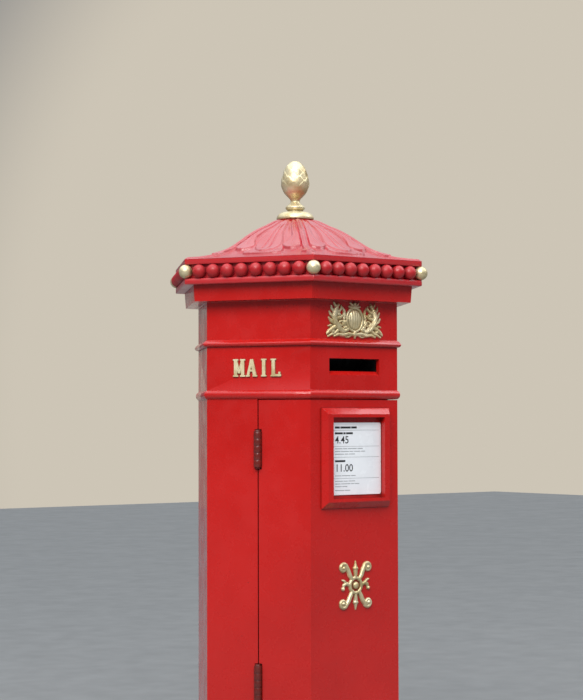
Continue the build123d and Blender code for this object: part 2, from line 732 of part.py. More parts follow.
def case_screw_places():
    lift = CASE_HALF_HEIGHT + 6
    front = -SEAM - JAMB_THICK - 1 - 10
    return [(t, LOCK_HEIGHT + z) for t in (front, front - CASE_LENGTH + 20) for z in (-lift, lift)]


def lock_case():
    front = -SEAM - JAMB_THICK - 1
    back = front - CASE_LENGTH
    low = LOCK_HEIGHT - CASE_HALF_HEIGHT
    high = LOCK_HEIGHT + CASE_HALF_HEIGHT
    case = face_box(LOCK_FACE, (back, front), (case_back(), INNER), (low, high))
    room_t = (back + CASE_WALL, front - CASE_WALL)
    case -= face_box(LOCK_FACE, room_t, (case_back() + CASE_WALL, INNER), (low + CASE_WALL, high - CASE_WALL))
    case += face_box(LOCK_FACE, (back, front), (INNER - 4, INNER), (low - 12, low))
    case += face_box(LOCK_FACE, (back, front), (INNER - 4, INNER), (high, high + 12))
    rest = (case_back() + CASE_WALL - 1, bolt_back() - SLIDING)
    case += face_box(LOCK_FACE, (back + 4, front - 4), rest, (LOCK_HEIGHT - 10, LOCK_HEIGHT + 10))
    rail = (case_back() + CASE_WALL - 1, bolt_back() + BOLT_THICK)
    guide_low = (LOCK_HEIGHT - BOLT_HALF_HEIGHT - 6, LOCK_HEIGHT - BOLT_HALF_HEIGHT - SLIDING)
    case += face_box(LOCK_FACE, (back + 4, front - 4), rail, guide_low)
    case -= bolt_passage((front - CASE_WALL - 1, front + 1))
    for t, z in case_screw_places():
        case -= outward_rod(LOCK_FACE, t, z, (INNER - 5, INNER + 1), SCREW_HOLE_RADIUS)
    return case


def lock_bolt():
    tip = -SEAM - 1
    tail = tip - BOLT_LENGTH
    n = (bolt_back(), bolt_back() + BOLT_THICK)
    low = LOCK_HEIGHT - BOLT_HALF_HEIGHT
    bolt = face_box(LOCK_FACE, (tail, tip), n, (low, LOCK_HEIGHT + BOLT_HALF_HEIGHT))
    bolt += face_box(LOCK_FACE, (tail, tail + 26), n, (low, LOCK_HEIGHT + BOLT_HALF_HEIGHT + 7))
    peg = peg_circle()
    half = PEG_RADIUS + PEG_CLEARANCE
    slot_t = -LOCK_BACK - BOLT_THROW / 2
    slot_z = (LOCK_HEIGHT + BOLT_THROW / 2 - half, LOCK_HEIGHT + peg + half)
    bolt -= face_box(LOCK_FACE, (slot_t - half, slot_t + half), (n[0] - 1, n[1] + 1), slot_z)
    return bolt


def lock_curtain():
    """The key barrel, the disc behind the door plate and the peg that drives the bolt."""
    front = APOTHEM + ESCUTCHEON_HEIGHT - 1
    disc = (bolt_back() + BOLT_THICK + 1, INNER - 0.5)
    part = outward_rod(LOCK_FACE, -LOCK_BACK, LOCK_HEIGHT, (disc[0], front), KEY_BARREL_RADIUS)
    part += outward_rod(LOCK_FACE, -LOCK_BACK, LOCK_HEIGHT, disc, CURTAIN_RADIUS)
    peg_t = -LOCK_BACK - BOLT_THROW / 2
    peg = (bolt_back() + 1, disc[1])
    part += outward_rod(LOCK_FACE, peg_t, LOCK_HEIGHT + BOLT_THROW / 2, peg, PEG_RADIUS)
    keyway = (front - 9, front + 1)
    part -= outward_rod(LOCK_FACE, -LOCK_BACK, LOCK_HEIGHT + 1.5, keyway, 2.2)
    t = (-LOCK_BACK - 1.1, -LOCK_BACK + 1.1)
    part -= face_box(LOCK_FACE, t, keyway, (LOCK_HEIGHT - 5, LOCK_HEIGHT + 1.5))
    return part


def lock_case_screws():
    start = [point(LOCK_FACE, t, INNER - 4, z) for t, z in case_screw_places()]
    return Compound(children=[screw(p, normal(LOCK_FACE), 12, 2.5).solid() for p in start])


def escutcheon_screw_places():
    return [(-LOCK_BACK + t, LOCK_HEIGHT - 6) for t in (-15, 15)]


def keyhole_escutcheon():
    """The boss round the keyhole, with an ear above it for the drop cover."""
    t = -LOCK_BACK
    front = APOTHEM + ESCUTCHEON_HEIGHT
    part = outward_rod(LOCK_FACE, t, LOCK_HEIGHT, (APOTHEM, APOTHEM + 3), 21)
    part += outward_rod(LOCK_FACE, t, LOCK_HEIGHT, (APOTHEM, front), KEY_BARREL_RADIUS + 4)
    part += outward_rod(LOCK_FACE, t, LOCK_HEIGHT + COVER_PIVOT_UP, (APOTHEM, front), 5.5)
    pivot = LOCK_HEIGHT + COVER_PIVOT_UP
    neck = (LOCK_HEIGHT + KEY_BARREL_RADIUS + 2, pivot)
    part += face_box(LOCK_FACE, (t - 4, t + 4), (APOTHEM, front - 3), neck)
    part -= outward_rod(LOCK_FACE, t, LOCK_HEIGHT, (APOTHEM - 1, front + 1), KEY_BARREL_RADIUS + 0.5)
    part -= outward_rod(LOCK_FACE, t, pivot, (APOTHEM + 2, front + 1), PEG_RADIUS + RUNNING)
    for place, z in escutcheon_screw_places():
        part -= outward_rod(LOCK_FACE, place, z, (APOTHEM - 1, APOTHEM + 4), SCREW_HOLE_RADIUS)
    return part


def escutcheon_screws():
    start = [point(LOCK_FACE, t, APOTHEM + 3, z) for t, z in escutcheon_screw_places()]
    return Compound(children=[screw(p, normal(LOCK_FACE) * -1, 11, 1.6).solid() for p in start])


def cover_plane():
    start = APOTHEM + ESCUTCHEON_HEIGHT + 0.5
    return (start, start + COVER_THICK)


def keyhole_cover():
    """A drop-shaped cover that hangs from its pivot over the keyhole."""
    t = -LOCK_BACK
    n = cover_plane()
    part = outward_rod(LOCK_FACE, t, LOCK_HEIGHT, n, KEY_BARREL_RADIUS + 3)
    pivot = LOCK_HEIGHT + COVER_PIVOT_UP
    part += outward_rod(LOCK_FACE, t, pivot, n, 6)
    part += face_box(LOCK_FACE, (t - 4.5, t + 4.5), n, (LOCK_HEIGHT, pivot))
    part -= outward_rod(LOCK_FACE, t, pivot, (n[0] - 1, n[1] + 1), PEG_RADIUS + RUNNING)
    return part


def cover_rivet():
    t = -LOCK_BACK
    z = LOCK_HEIGHT + COVER_PIVOT_UP
    n = cover_plane()
    shank = outward_rod(LOCK_FACE, t, z, (APOTHEM + 2.2, n[1] + 0.3), PEG_RADIUS)
    return shank + outward_rod(LOCK_FACE, t, z, (n[1] + 0.3, n[1] + 1.6), 4.2)


def keep_pocket():
    return keep_plate(SLIDING)


def keep_plate(grow):
    n = (bolt_back() - 8 - grow, bolt_back() + BOLT_THICK + 8 + grow)
    z = (LOCK_HEIGHT - 28 - grow, LOCK_HEIGHT + 28 + grow)
    return face_box(LOCK_FACE, (SEAM, SEAM + LEAF_THICK), n, z)


def keep_screw_points():
    middle = bolt_back() + BOLT_THICK / 2
    return [point(LOCK_FACE, SEAM + LEAF_THICK / 2, middle, LOCK_HEIGHT + z) for z in (-21, 21)]


def keep_screw_holes():
    way = along(LOCK_FACE)
    return Part() + [rod(p, p + way * 9.5, SCREW_HOLE_RADIUS) for p in keep_screw_points()]


def bolt_keep():
    """The strike plate let into the jamb, with a hole for the bolt."""
    plate = keep_plate(0) - bolt_passage((SEAM - 1, SEAM + LEAF_THICK + 1))
    way = along(LOCK_FACE)
    for p in keep_screw_points():
        plate -= rod(p - way * 3, p, SCREW_HEAD_RADIUS + SCREW_CLEARANCE)
        plate -= rod(p, p + way * 4, SCREW_HOLE_RADIUS)
    return plate


def keep_screws():
    way = along(LOCK_FACE)
    return Compound(children=[screw(p, way, 9, LEAF_THICK / 2).solid() for p in keep_screw_points()])


# ---------------------------------------------------------------- notice frame
def notice_middle():
    return HEAD_BOTTOM - NOTICE_TOP_DROP - NOTICE_HEIGHT / 2


def notice_screw_places():
    bar = NOTICE_OPENING_WIDTH / 4 + (NOTICE_WIDTH - 2 * NOTICE_SIDE_BEVEL) / 4
    return [(t, notice_middle() + z) for t in (-bar, bar) for z in (-85, 85)]


def notice_slab(width, height, n, z):
    return face_box(SLOT_FACE, (-width / 2, width / 2), n, (z - height / 2, z + height / 2))


def notice_frame():
    """A raised frame with bevelled sides and a rebate behind for the backing plate."""
    z = notice_middle()
    step = 4.0
    low = face_plane(SLOT_FACE, 0, APOTHEM + step, z)
    high = face_plane(SLOT_FACE, 0, APOTHEM + NOTICE_PROUD, z)
    front_width = NOTICE_WIDTH - 2 * NOTICE_SIDE_BEVEL
    front_height = NOTICE_HEIGHT - 2 * NOTICE_END_BEVEL
    foot = low * Rectangle(NOTICE_WIDTH, NOTICE_HEIGHT)
    bevel = loft([foot, high * Rectangle(front_width, front_height)])
    frame = notice_slab(NOTICE_WIDTH, NOTICE_HEIGHT, (APOTHEM, APOTHEM + step), z) + bevel
    through = (APOTHEM - 1, APOTHEM + NOTICE_PROUD + 1)
    frame -= notice_slab(NOTICE_OPENING_WIDTH, NOTICE_OPENING_HEIGHT, through, z)
    rebate = (APOTHEM - 1, APOTHEM + NOTICE_BACKING_THICK + SLIDING)
    frame -= notice_slab(NOTICE_OPENING_WIDTH + 6, NOTICE_OPENING_HEIGHT + 6, rebate, z)
    for t, height in notice_screw_places():
        frame -= outward_rod(SLOT_FACE, t, height, (APOTHEM - 1, APOTHEM + 9.5), SCREW_HOLE_RADIUS)
    return frame


def notice_backing():
    z = notice_middle()
    thick = (APOTHEM, APOTHEM + NOTICE_BACKING_THICK)
    return notice_slab(NOTICE_OPENING_WIDTH + 5, NOTICE_OPENING_HEIGHT + 5, thick, z)


def notice_plate():
    z = notice_middle() - NOTICE_PLATE_LOW
    back = APOTHEM + NOTICE_BACKING_THICK
    sheet = face_plane(SLOT_FACE, 0, back, z) * RectangleRounded(NOTICE_PLATE_WIDTH, NOTICE_PLATE_HEIGHT, 6)
    return extrude(sheet, NOTICE_PLATE_THICK)


def notice_screws():
    start = [point(SLOT_FACE, t, INNER, z) for t, z in notice_screw_places()]
    return Compound(children=[screw(p, normal(SLOT_FACE), WALL + 9, 2.5).solid() for p in start])


# ---------------------------------------------------------------- ornaments
def raised(shape, angle, t, z, height):
    """A flat ornament on the outside of a face."""
    return extrude(face_plane(angle, t, APOTHEM, z) * shape, height)


def crest_badge():
    """A generic crest: an oval cartouche between two leaf scrolls on a ribbon."""
    w = CREST_WIDTH
    h = CREST_HEIGHT
    middle = CREST_BOTTOM + h / 2
    shape = Ellipse(w * 0.17, h * 0.36)
    shape += Pos(0, h * 0.40) * Rectangle(w * 0.20, h * 0.20)
    shape += Pos(0, -h * 0.36) * Rectangle(w * 0.92, h * 0.20)
    shape += Pos(0, -h * 0.44) * Rectangle(w * 0.30, h * 0.12)
    for side in (-1, 1):
        shape += Pos(side * w * 0.30, -h * 0.06) * Rot(0, 0, side * -12) * Ellipse(w * 0.10, h * 0.36)
        shape += Pos(side * w * 0.38, -h * 0.22) * Ellipse(w * 0.12, h * 0.16)
        shape += Pos(side * w * 0.17, -h * 0.18) * Ellipse(w * 0.12, h * 0.14)
    return raised(shape, SLOT_FACE, 0, middle, CREST_PROUD)


def scroll_badge():
    """A generic monogram-like knot of open scrolls, with no letter in it."""
    w = SCROLL_WIDTH
    h = SCROLL_HEIGHT
    bar = 9.0
    middle = HEAD_BOTTOM - SCROLL_DROP - h / 2
    shape = Ellipse(w * 0.22, h * 0.34) - Ellipse(w * 0.22 - bar, h * 0.34 - bar)
    for side in (-1, 1):
        for end in (-1, 1):
            eye = Ellipse(w * 0.17, h * 0.15) - Ellipse(w * 0.17 - bar, h * 0.15 - bar)
            shape += Pos(side * w * 0.32, end * h * 0.33) * eye
        shape += Rot(0, 0, side * 38) * Rectangle(bar, h * 0.86)
    return raised(shape, SLOT_FACE, 0, middle, SCROLL_PROUD)


def stroke(start, end, width):
    """A straight pen stroke with square ends."""
    line = Vector(*end) - Vector(*start)
    middle = (Vector(*start) + Vector(*end)) * 0.5
    turn = Vector(0, 1, 0).get_signed_angle(line, Vector(0, 0, 1))
    return Pos(middle.X, middle.Y) * Rot(0, 0, turn) * Rectangle(width, line.length)


def serif(x, top):
    """A foot or head on an upright stroke."""
    y = LETTER_HEIGHT - 2 if top else 2
    return Pos(x, y) * Rectangle(LETTER_STROKE + 6, 4)


def upright_stroke(x):
    return stroke((x, 0), (x, LETTER_HEIGHT), LETTER_STROKE) + serif(x, True) + serif(x, False)


def letter(name):
    w = LETTER_WIDTH
    h = LETTER_HEIGHT
    s = LETTER_STROKE
    left = -w / 2 + s / 2
    right = -left
    if name == "I":
        return upright_stroke(0)
    if name == "L":
        foot = Pos(1.5, 3) * Rectangle(w - 3, 6)
        return upright_stroke(left + 1) + foot + Pos(right, 6) * Rectangle(5, 12)
    if name == "M":
        slopes = stroke((left, h - 2), (0, 9), s * 0.7) + stroke((right, h - 2), (0, 9), s * 0.7)
        return upright_stroke(left - 1) + upright_stroke(right + 1) + slopes
    if name == "A":
        legs = stroke((left - 1, 1), (0, h - 1), s * 0.75) + stroke((right + 1, 1), (0, h - 1), s)
        bar = Pos(0, h * 0.34) * Rectangle(w * 0.5, 5)
        feet = Pos(left - 1, 2) * Rectangle(11, 4) + Pos(right + 1, 2) * Rectangle(13, 4)
        return legs + bar + feet
    if name == "O":
        return Pos(0, h / 2) * (Ellipse(w / 2 + 2, h / 2) - Ellipse(w / 2 + 2 - s, h / 2 - s * 0.7))
    if name == "X":
        arms = stroke((left, 2), (right, h - 2), s * 0.7) + stroke((right, 2), (left, h - 2), s)
        return arms + [Pos(x, y) * Rectangle(13, 4) for x in (left, right) for y in (2, h - 2)]
    bowl = Ellipse(w * 0.46, h * 0.27) - Ellipse(w * 0.46 - s, h * 0.27 - 6)
    bowls = [Pos(2, y) * bowl for y in (h * 0.27, h * 0.73)]
    keep = Pos(w / 2 + left, h / 2) * Rectangle(w, h)
    return upright_stroke(left) + [shape & keep for shape in bowls]


def word(text, angle):
    """Raised letters, centred on a face."""
    foot = HEAD_BOTTOM + LETTER_UP
    letters = []
    for k, name in enumerate(text):
        t = (k - (len(text) - 1) / 2) * LETTER_PITCH
        letters.append(raised(letter(name), angle, t, foot, LETTER_PROUD).solid())
    return Compound(children=letters)


# ---------------------------------------------------------------- inside
def mail_floor():
    low = PLINTH_HEIGHT + FLOOR_UP
    return hexagon(INNER - 4, (low, low + FLOOR_THICK))


def guard_bracket_points():
    return [z for z in (GUARD_BOTTOM + 60, GUARD_TOP - 60)]


def guard_bracket_holes():
    """Blind holes in the hinge-side lip for the screws of the guard's brackets."""
    holes = []
    for z in guard_bracket_points():
        holes.append(outward_rod(HINGE_FACE, 0, z, (LIP_BACK - 1, LIP_BACK + 9.5), SCREW_HOLE_RADIUS))
    return Part() + holes


def guard_brackets():
    shapes = []
    for z in guard_bracket_points():
        n = (GUARD_APOTHEM - GUARD_SET_BACK, LIP_BACK)
        block = face_box(HINGE_FACE, (-8, GUARD_END + 7), n, (z - 8, z + 8))
        block -= upright_rod(HINGE_FACE, GUARD_END, GUARD_APOTHEM, (z - 9, z + 9), GUARD_POST_RADIUS + 0.3)
        block -= outward_rod(HINGE_FACE, 0, z, (n[0] - 1, n[1] + 1), SCREW_HOLE_RADIUS)
        shapes.append(block.solid())
    return Compound(children=shapes)


def guard_bracket_screws():
    start = [point(HINGE_FACE, 0, GUARD_APOTHEM - GUARD_SET_BACK, z) for z in guard_bracket_points()]
    length = 2 * GUARD_SET_BACK + 9
    return Compound(children=[screw(p, normal(HINGE_FACE), length, 2.5).solid() for p in start])


def letter_guard():
    """A welded wire guard, bent round the compartment behind the door."""
    corner = GUARD_APOTHEM * tan(radians(30))
    runs = ((HINGE_FACE, GUARD_END, corner), (SLOT_FACE, -corner, corner), (LOCK_FACE, -corner, -GUARD_END))
    zone = (GUARD_BOTTOM, GUARD_TOP)
    guard = Part()
    for k in range(GUARD_HOOPS):
        z = GUARD_BOTTOM + 4 + k * (GUARD_TOP - GUARD_BOTTOM - 8) / (GUARD_HOOPS - 1)
        for angle, start, end in runs:
            guard += sideways_rod(angle, (start, end), GUARD_APOTHEM, z, GUARD_WIRE_RADIUS)
    for angle, start, end in runs:
        count = int((end - start) / GUARD_PITCH)
        for k in range(1, count + 1):
            t = start + (end - start) * k / (count + 1)
            guard += upright_rod(angle, t, GUARD_APOTHEM, zone, GUARD_WIRE_RADIUS)
    posts = ((HINGE_FACE, GUARD_END), (HINGE_FACE, corner), (SLOT_FACE, corner), (LOCK_FACE, -GUARD_END))
    for angle, t in posts:
        guard += upright_rod(angle, t, GUARD_APOTHEM, zone, GUARD_POST_RADIUS)
    thick = (GUARD_APOTHEM - 2, GUARD_APOTHEM + 2)
    tab = face_box(LOCK_FACE, (-GUARD_END - 18, -GUARD_END), thick, latch_zone())
    through = (GUARD_APOTHEM - 3, GUARD_APOTHEM + 3)
    hole = outward_rod(LOCK_FACE, latch_place(), latch_height(), through, 3 + RUNNING)
    return guard + tab - hole


def latch_height():
    return LOCK_HEIGHT - 3 * CASE_HALF_HEIGHT + 12


def latch_place():
    return -GUARD_END - 10


def latch_zone():
    return (latch_height() - 9, latch_height() + 9)


def guard_latch():
    """A turn button riveted to the guard; its tongue reaches behind the lip of the door frame."""
    t = latch_place()
    z = latch_height()
    n = (GUARD_APOTHEM + GUARD_POST_RADIUS + 0.3, LIP_BACK - 0.5)
    button = face_box(LOCK_FACE, (t, 2), n, (z - 6, z + 6)) + outward_rod(LOCK_FACE, t, z, n, 7)
    button += outward_rod(LOCK_FACE, t, z, (GUARD_APOTHEM - 4, n[1]), 3)
    return button + outward_rod(LOCK_FACE, t, z, (GUARD_APOTHEM - 4, GUARD_APOTHEM - 2.3), 6)


def chute_zone():
    """Lowest and highest heights of the chute's flange round the posting slot."""
    sill = HEAD_BOTTOM + SLOT_SILL_UP
    return (sill - 18, sill + SLOT_OPENING + 34)


def letter_chute():
    """A sheet-metal hood behind the slot that drops the letters past the joint ring."""
    low, high = chute_zone()
    throat_front = RING_INNER - 4
    throat_back = throat_front - CHUTE_THROAT
    bottom = HEAD_BOTTOM - 2 * FLANGE - 3
    shell = outline(
        (INNER, high),
        (INNER, low),
        (throat_front, low - 28),
        (throat_front, bottom),
        (throat_back, bottom),
        (throat_back, low + 14),
        (INNER - 36, high),
    )
    upright = Plane(origin=(0, 0, 0), x_dir=(0, -1, 0), z_dir=(-1, 0, 0))
    room = offset(shell, -CHUTE_SHEET, kind=Kind.INTERSECTION)
    half = CHUTE_WIDTH / 2
    chute = extrude(upright * shell, half, both=True)
    chute -= extrude(upright * room, half - CHUTE_SHEET, both=True)
    clear = half - CHUTE_SHEET
    mouth = (low + 14, high - 24)
    chute -= face_box(SLOT_FACE, (-clear, clear), (INNER - CHUTE_SHEET - 1, INNER + 1), mouth)
    throat = (throat_back + CHUTE_SHEET, throat_front - CHUTE_SHEET)
    chute -= face_box(SLOT_FACE, (-clear, clear), throat, (bottom - 1, bottom + CHUTE_SHEET + 1))
    for side in (-1, 1):
        t = (side * half, side * (half + 16))
        chute += face_box(SLOT_FACE, t, (INNER - CHUTE_SHEET, INNER), (low, high))
    for t, z in chute_screw_places():
        chute -= outward_rod(SLOT_FACE, t, z, (INNER - CHUTE_SHEET - 1, INNER + 1), SCREW_HOLE_RADIUS)
    return chute


def chute_screw_places():
    low, high = chute_zone()
    t = CHUTE_WIDTH / 2 + 8
    return [(side * t, z) for side in (-1, 1) for z in (low + 14, high - 14)]


def chute_screw_holes():
    holes = []
    for t, z in chute_screw_places():
        holes.append(outward_rod(SLOT_FACE, t, z, (INNER - 1, INNER + 8.5), SCREW_HOLE_RADIUS))
    return Part() + holes


def chute_screws():
    start = [point(SLOT_FACE, t, INNER - CHUTE_SHEET, z) for t, z in chute_screw_places()]
    return Compound(children=[screw(p, normal(SLOT_FACE), 8 + CHUTE_SHEET, 2.5).solid() for p in start])


# ---------------------------------------------------------------- bolts and nuts
def ring_bolts(circle, under_head, length):
    return Compound(children=[hex_bolt(p.X, p.Y, under_head, length).solid() for p in mid_faces(circle)])


def ring_nuts(circle, z):
    return Compound(children=[nut(p.X, p.Y, z).solid() for p in mid_faces(circle)])


SHANK = 2 * FLANGE + NUT_HEIGHT + 2
CAP_SHANK = PLATE_THICK + FLANGE + NUT_HEIGHT + 2

nodes = {
    "plinth_base": plinth_base(),
    "shaft_casting": shaft_casting(),
    "head_casting": head_casting(),
    "roof_cap": roof_cap(),
    "rim_beads": rim_beads(),
    "corner_balls": corner_balls(),
    "finial_bud": finial_bud(),
    "finial_stud": finial_stud(),
    "finial_washer": finial_washer(),
    "finial_nut": finial_nut(),
    "door_panel": door_panel(),
    "lower_hinge_fixed_leaf": hinge_leaf(HINGE_HEIGHTS[0], -1),
    "lower_hinge_door_leaf": hinge_leaf(HINGE_HEIGHTS[0], 1),
    "lower_hinge_pin": hinge_pin(HINGE_HEIGHTS[0]),
    "upper_hinge_fixed_leaf": hinge_leaf(HINGE_HEIGHTS[1], -1),
    "upper_hinge_door_leaf": hinge_leaf(HINGE_HEIGHTS[1], 1),
    "upper_hinge_pin": hinge_pin(HINGE_HEIGHTS[1]),
    "hinge_screws_fixed": hinge_screws(-1),
    "hinge_screws_door": hinge_screws(1),
    "lock_case": lock_case(),
    "lock_bolt": lock_bolt(),
    "lock_curtain": lock_curtain(),
    "lock_case_screws": lock_case_screws(),
    "keyhole_escutcheon": keyhole_escutcheon(),
    "escutcheon_screws": escutcheon_screws(),
    "keyhole_cover": keyhole_cover(),
    "cover_rivet": cover_rivet(),
    "bolt_keep": bolt_keep(),
    "keep_screws": keep_screws(),
    "notice_frame": notice_frame(),
    "notice_backing": notice_backing(),
    "notice_plate": notice_plate(),
    "notice_screws": notice_screws(),
    "crest_badge": crest_badge(),
    "scroll_badge": scroll_badge(),
    "letters_left": word("MAIL", HINGE_FACE),
    "letters_right": word("BOX", LOCK_FACE),
    "mail_floor": mail_floor(),
    "letter_guard": letter_guard(),
    "guard_latch": guard_latch(),
    "guard_brackets": guard_brackets(),
    "guard_bracket_screws": guard_bracket_screws(),
    "letter_chute": letter_chute(),
    "chute_screws": chute_screws(),
    "base_bolts": ring_bolts(BASE_BOLT_CIRCLE, PLINTH_HEIGHT + FLANGE, SHANK),
    "base_nuts": ring_nuts(BASE_BOLT_CIRCLE, PLINTH_HEIGHT - FLANGE - NUT_HEIGHT),
    "joint_bolts": ring_bolts(JOINT_BOLT_CIRCLE, HEAD_BOTTOM + FLANGE, SHANK),
    "joint_nuts": ring_nuts(JOINT_BOLT_CIRCLE, HEAD_BOTTOM - FLANGE - NUT_HEIGHT),
    "cap_bolts": ring_bolts(CAP_BOLT_CIRCLE, BEAD_FLOOR, CAP_SHANK),
    "cap_nuts": ring_nuts(CAP_BOLT_CIRCLE, HEAD_TOP - FLANGE - NUT_HEIGHT),
}

for name, shape in nodes.items():
    write(name, shape)
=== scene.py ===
import json
from math import cos, exp, pi, radians, sin, sqrt, tan
import bmesh
import bpy
import numpy as np
from mathutils import Matrix, Vector, noise


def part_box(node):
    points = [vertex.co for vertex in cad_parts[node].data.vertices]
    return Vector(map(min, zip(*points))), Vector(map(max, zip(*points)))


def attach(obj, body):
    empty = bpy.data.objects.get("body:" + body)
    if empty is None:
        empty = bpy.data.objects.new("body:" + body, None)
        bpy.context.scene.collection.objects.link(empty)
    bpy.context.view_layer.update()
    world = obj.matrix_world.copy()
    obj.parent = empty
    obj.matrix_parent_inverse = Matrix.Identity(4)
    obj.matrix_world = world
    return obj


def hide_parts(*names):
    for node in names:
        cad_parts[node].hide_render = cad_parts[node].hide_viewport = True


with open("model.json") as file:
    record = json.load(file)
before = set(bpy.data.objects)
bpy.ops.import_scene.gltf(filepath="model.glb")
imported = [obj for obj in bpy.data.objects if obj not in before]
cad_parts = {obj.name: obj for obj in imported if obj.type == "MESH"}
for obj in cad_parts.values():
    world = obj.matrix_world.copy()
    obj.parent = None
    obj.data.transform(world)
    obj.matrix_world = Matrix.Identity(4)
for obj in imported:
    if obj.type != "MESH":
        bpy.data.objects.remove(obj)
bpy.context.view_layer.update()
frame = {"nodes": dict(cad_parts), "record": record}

nodes = frame["nodes"]

# ---------------------------------------------------------------- sizes, in metres
MM = 0.001
TAN30 = tan(radians(30))
COS30 = cos(radians(30))
FACES = (0, 60, 120, 180, 240, 300)
SLOT_FACE = FACES[0]

PLATE_THICK = 15 * MM
BEAD_GAP = 37 * MM
TOP_PLATE = 14 * MM
WALL_SET_BACK = 13 * MM
ROOF_RISE = 119 * MM
CROWN_RISE = 125 * MM
CROWN_RADIUS = 48 * MM
STUD_HOLE = 9 * MM
BEAD_RADIUS = 18.2 * MM
BALL_RADIUS = 18.3 * MM
BEADS_PER_SIDE = 8
BEAD_SET_IN = 3 * MM
FLOOR_REACH = 14

roof_low, roof_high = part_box("roof_cap")
EAVE = roof_high[1]
ROOF_FOOT = roof_low[2]
BEAD_FLOOR = ROOF_FOOT + PLATE_THICK
ROOF_BASE = BEAD_FLOOR + BEAD_GAP
ROOF_EDGE = ROOF_BASE + TOP_PLATE
CROWN_TOP = ROOF_EDGE + CROWN_RISE
BEAD_WALL = EAVE - WALL_SET_BACK
BODY_APOTHEM = -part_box("notice_backing")[1][1]


# ---------------------------------------------------------------- helpers
def normal(angle):
    """The outward direction of the face at an angle."""
    return Vector((sin(radians(angle)), -cos(radians(angle)), 0))


def along(angle):
    """The level direction along the face at an angle."""
    return Vector((cos(radians(angle)), sin(radians(angle)), 0))


def face_matrix(angle, t, n, z):
    """Local x runs along the face, y up and z outward."""
    out = normal(angle)
    side = along(angle)
    place = out * n + side * t + Vector((0, 0, z))
    up = Vector((0, 0, 1))
    return Matrix.Translation(place) @ Matrix((side, up, out)).transposed().to_4x4()


def new_object(name, verts, faces, material, smooth=True):
    """A mesh object with its doubled points joined and its normals outward."""
    mesh = bpy.data.meshes.new(name)
    mesh.from_pydata([tuple(v) for v in verts], [], faces)
    mesh.update()
    work = bmesh.new()
    work.from_mesh(mesh)
    bmesh.ops.remove_doubles(work, verts=work.verts, dist=2e-6)
    bmesh.ops.recalc_face_normals(work, faces=work.faces)
    work.to_mesh(mesh)
    work.free()
    for face in mesh.polygons:
        face.use_smooth = smooth
    obj = bpy.data.objects.new(name, mesh)
    bpy.context.scene.collection.objects.link(obj)
    mesh.materials.append(material)
    return obj


def smoothstep(value, low, high):
    """0 below low, 1 above high, and a smooth rise between."""
    x = np.clip((value - low) / (high - low), 0, 1)
    return x * x * (3 - 2 * x)


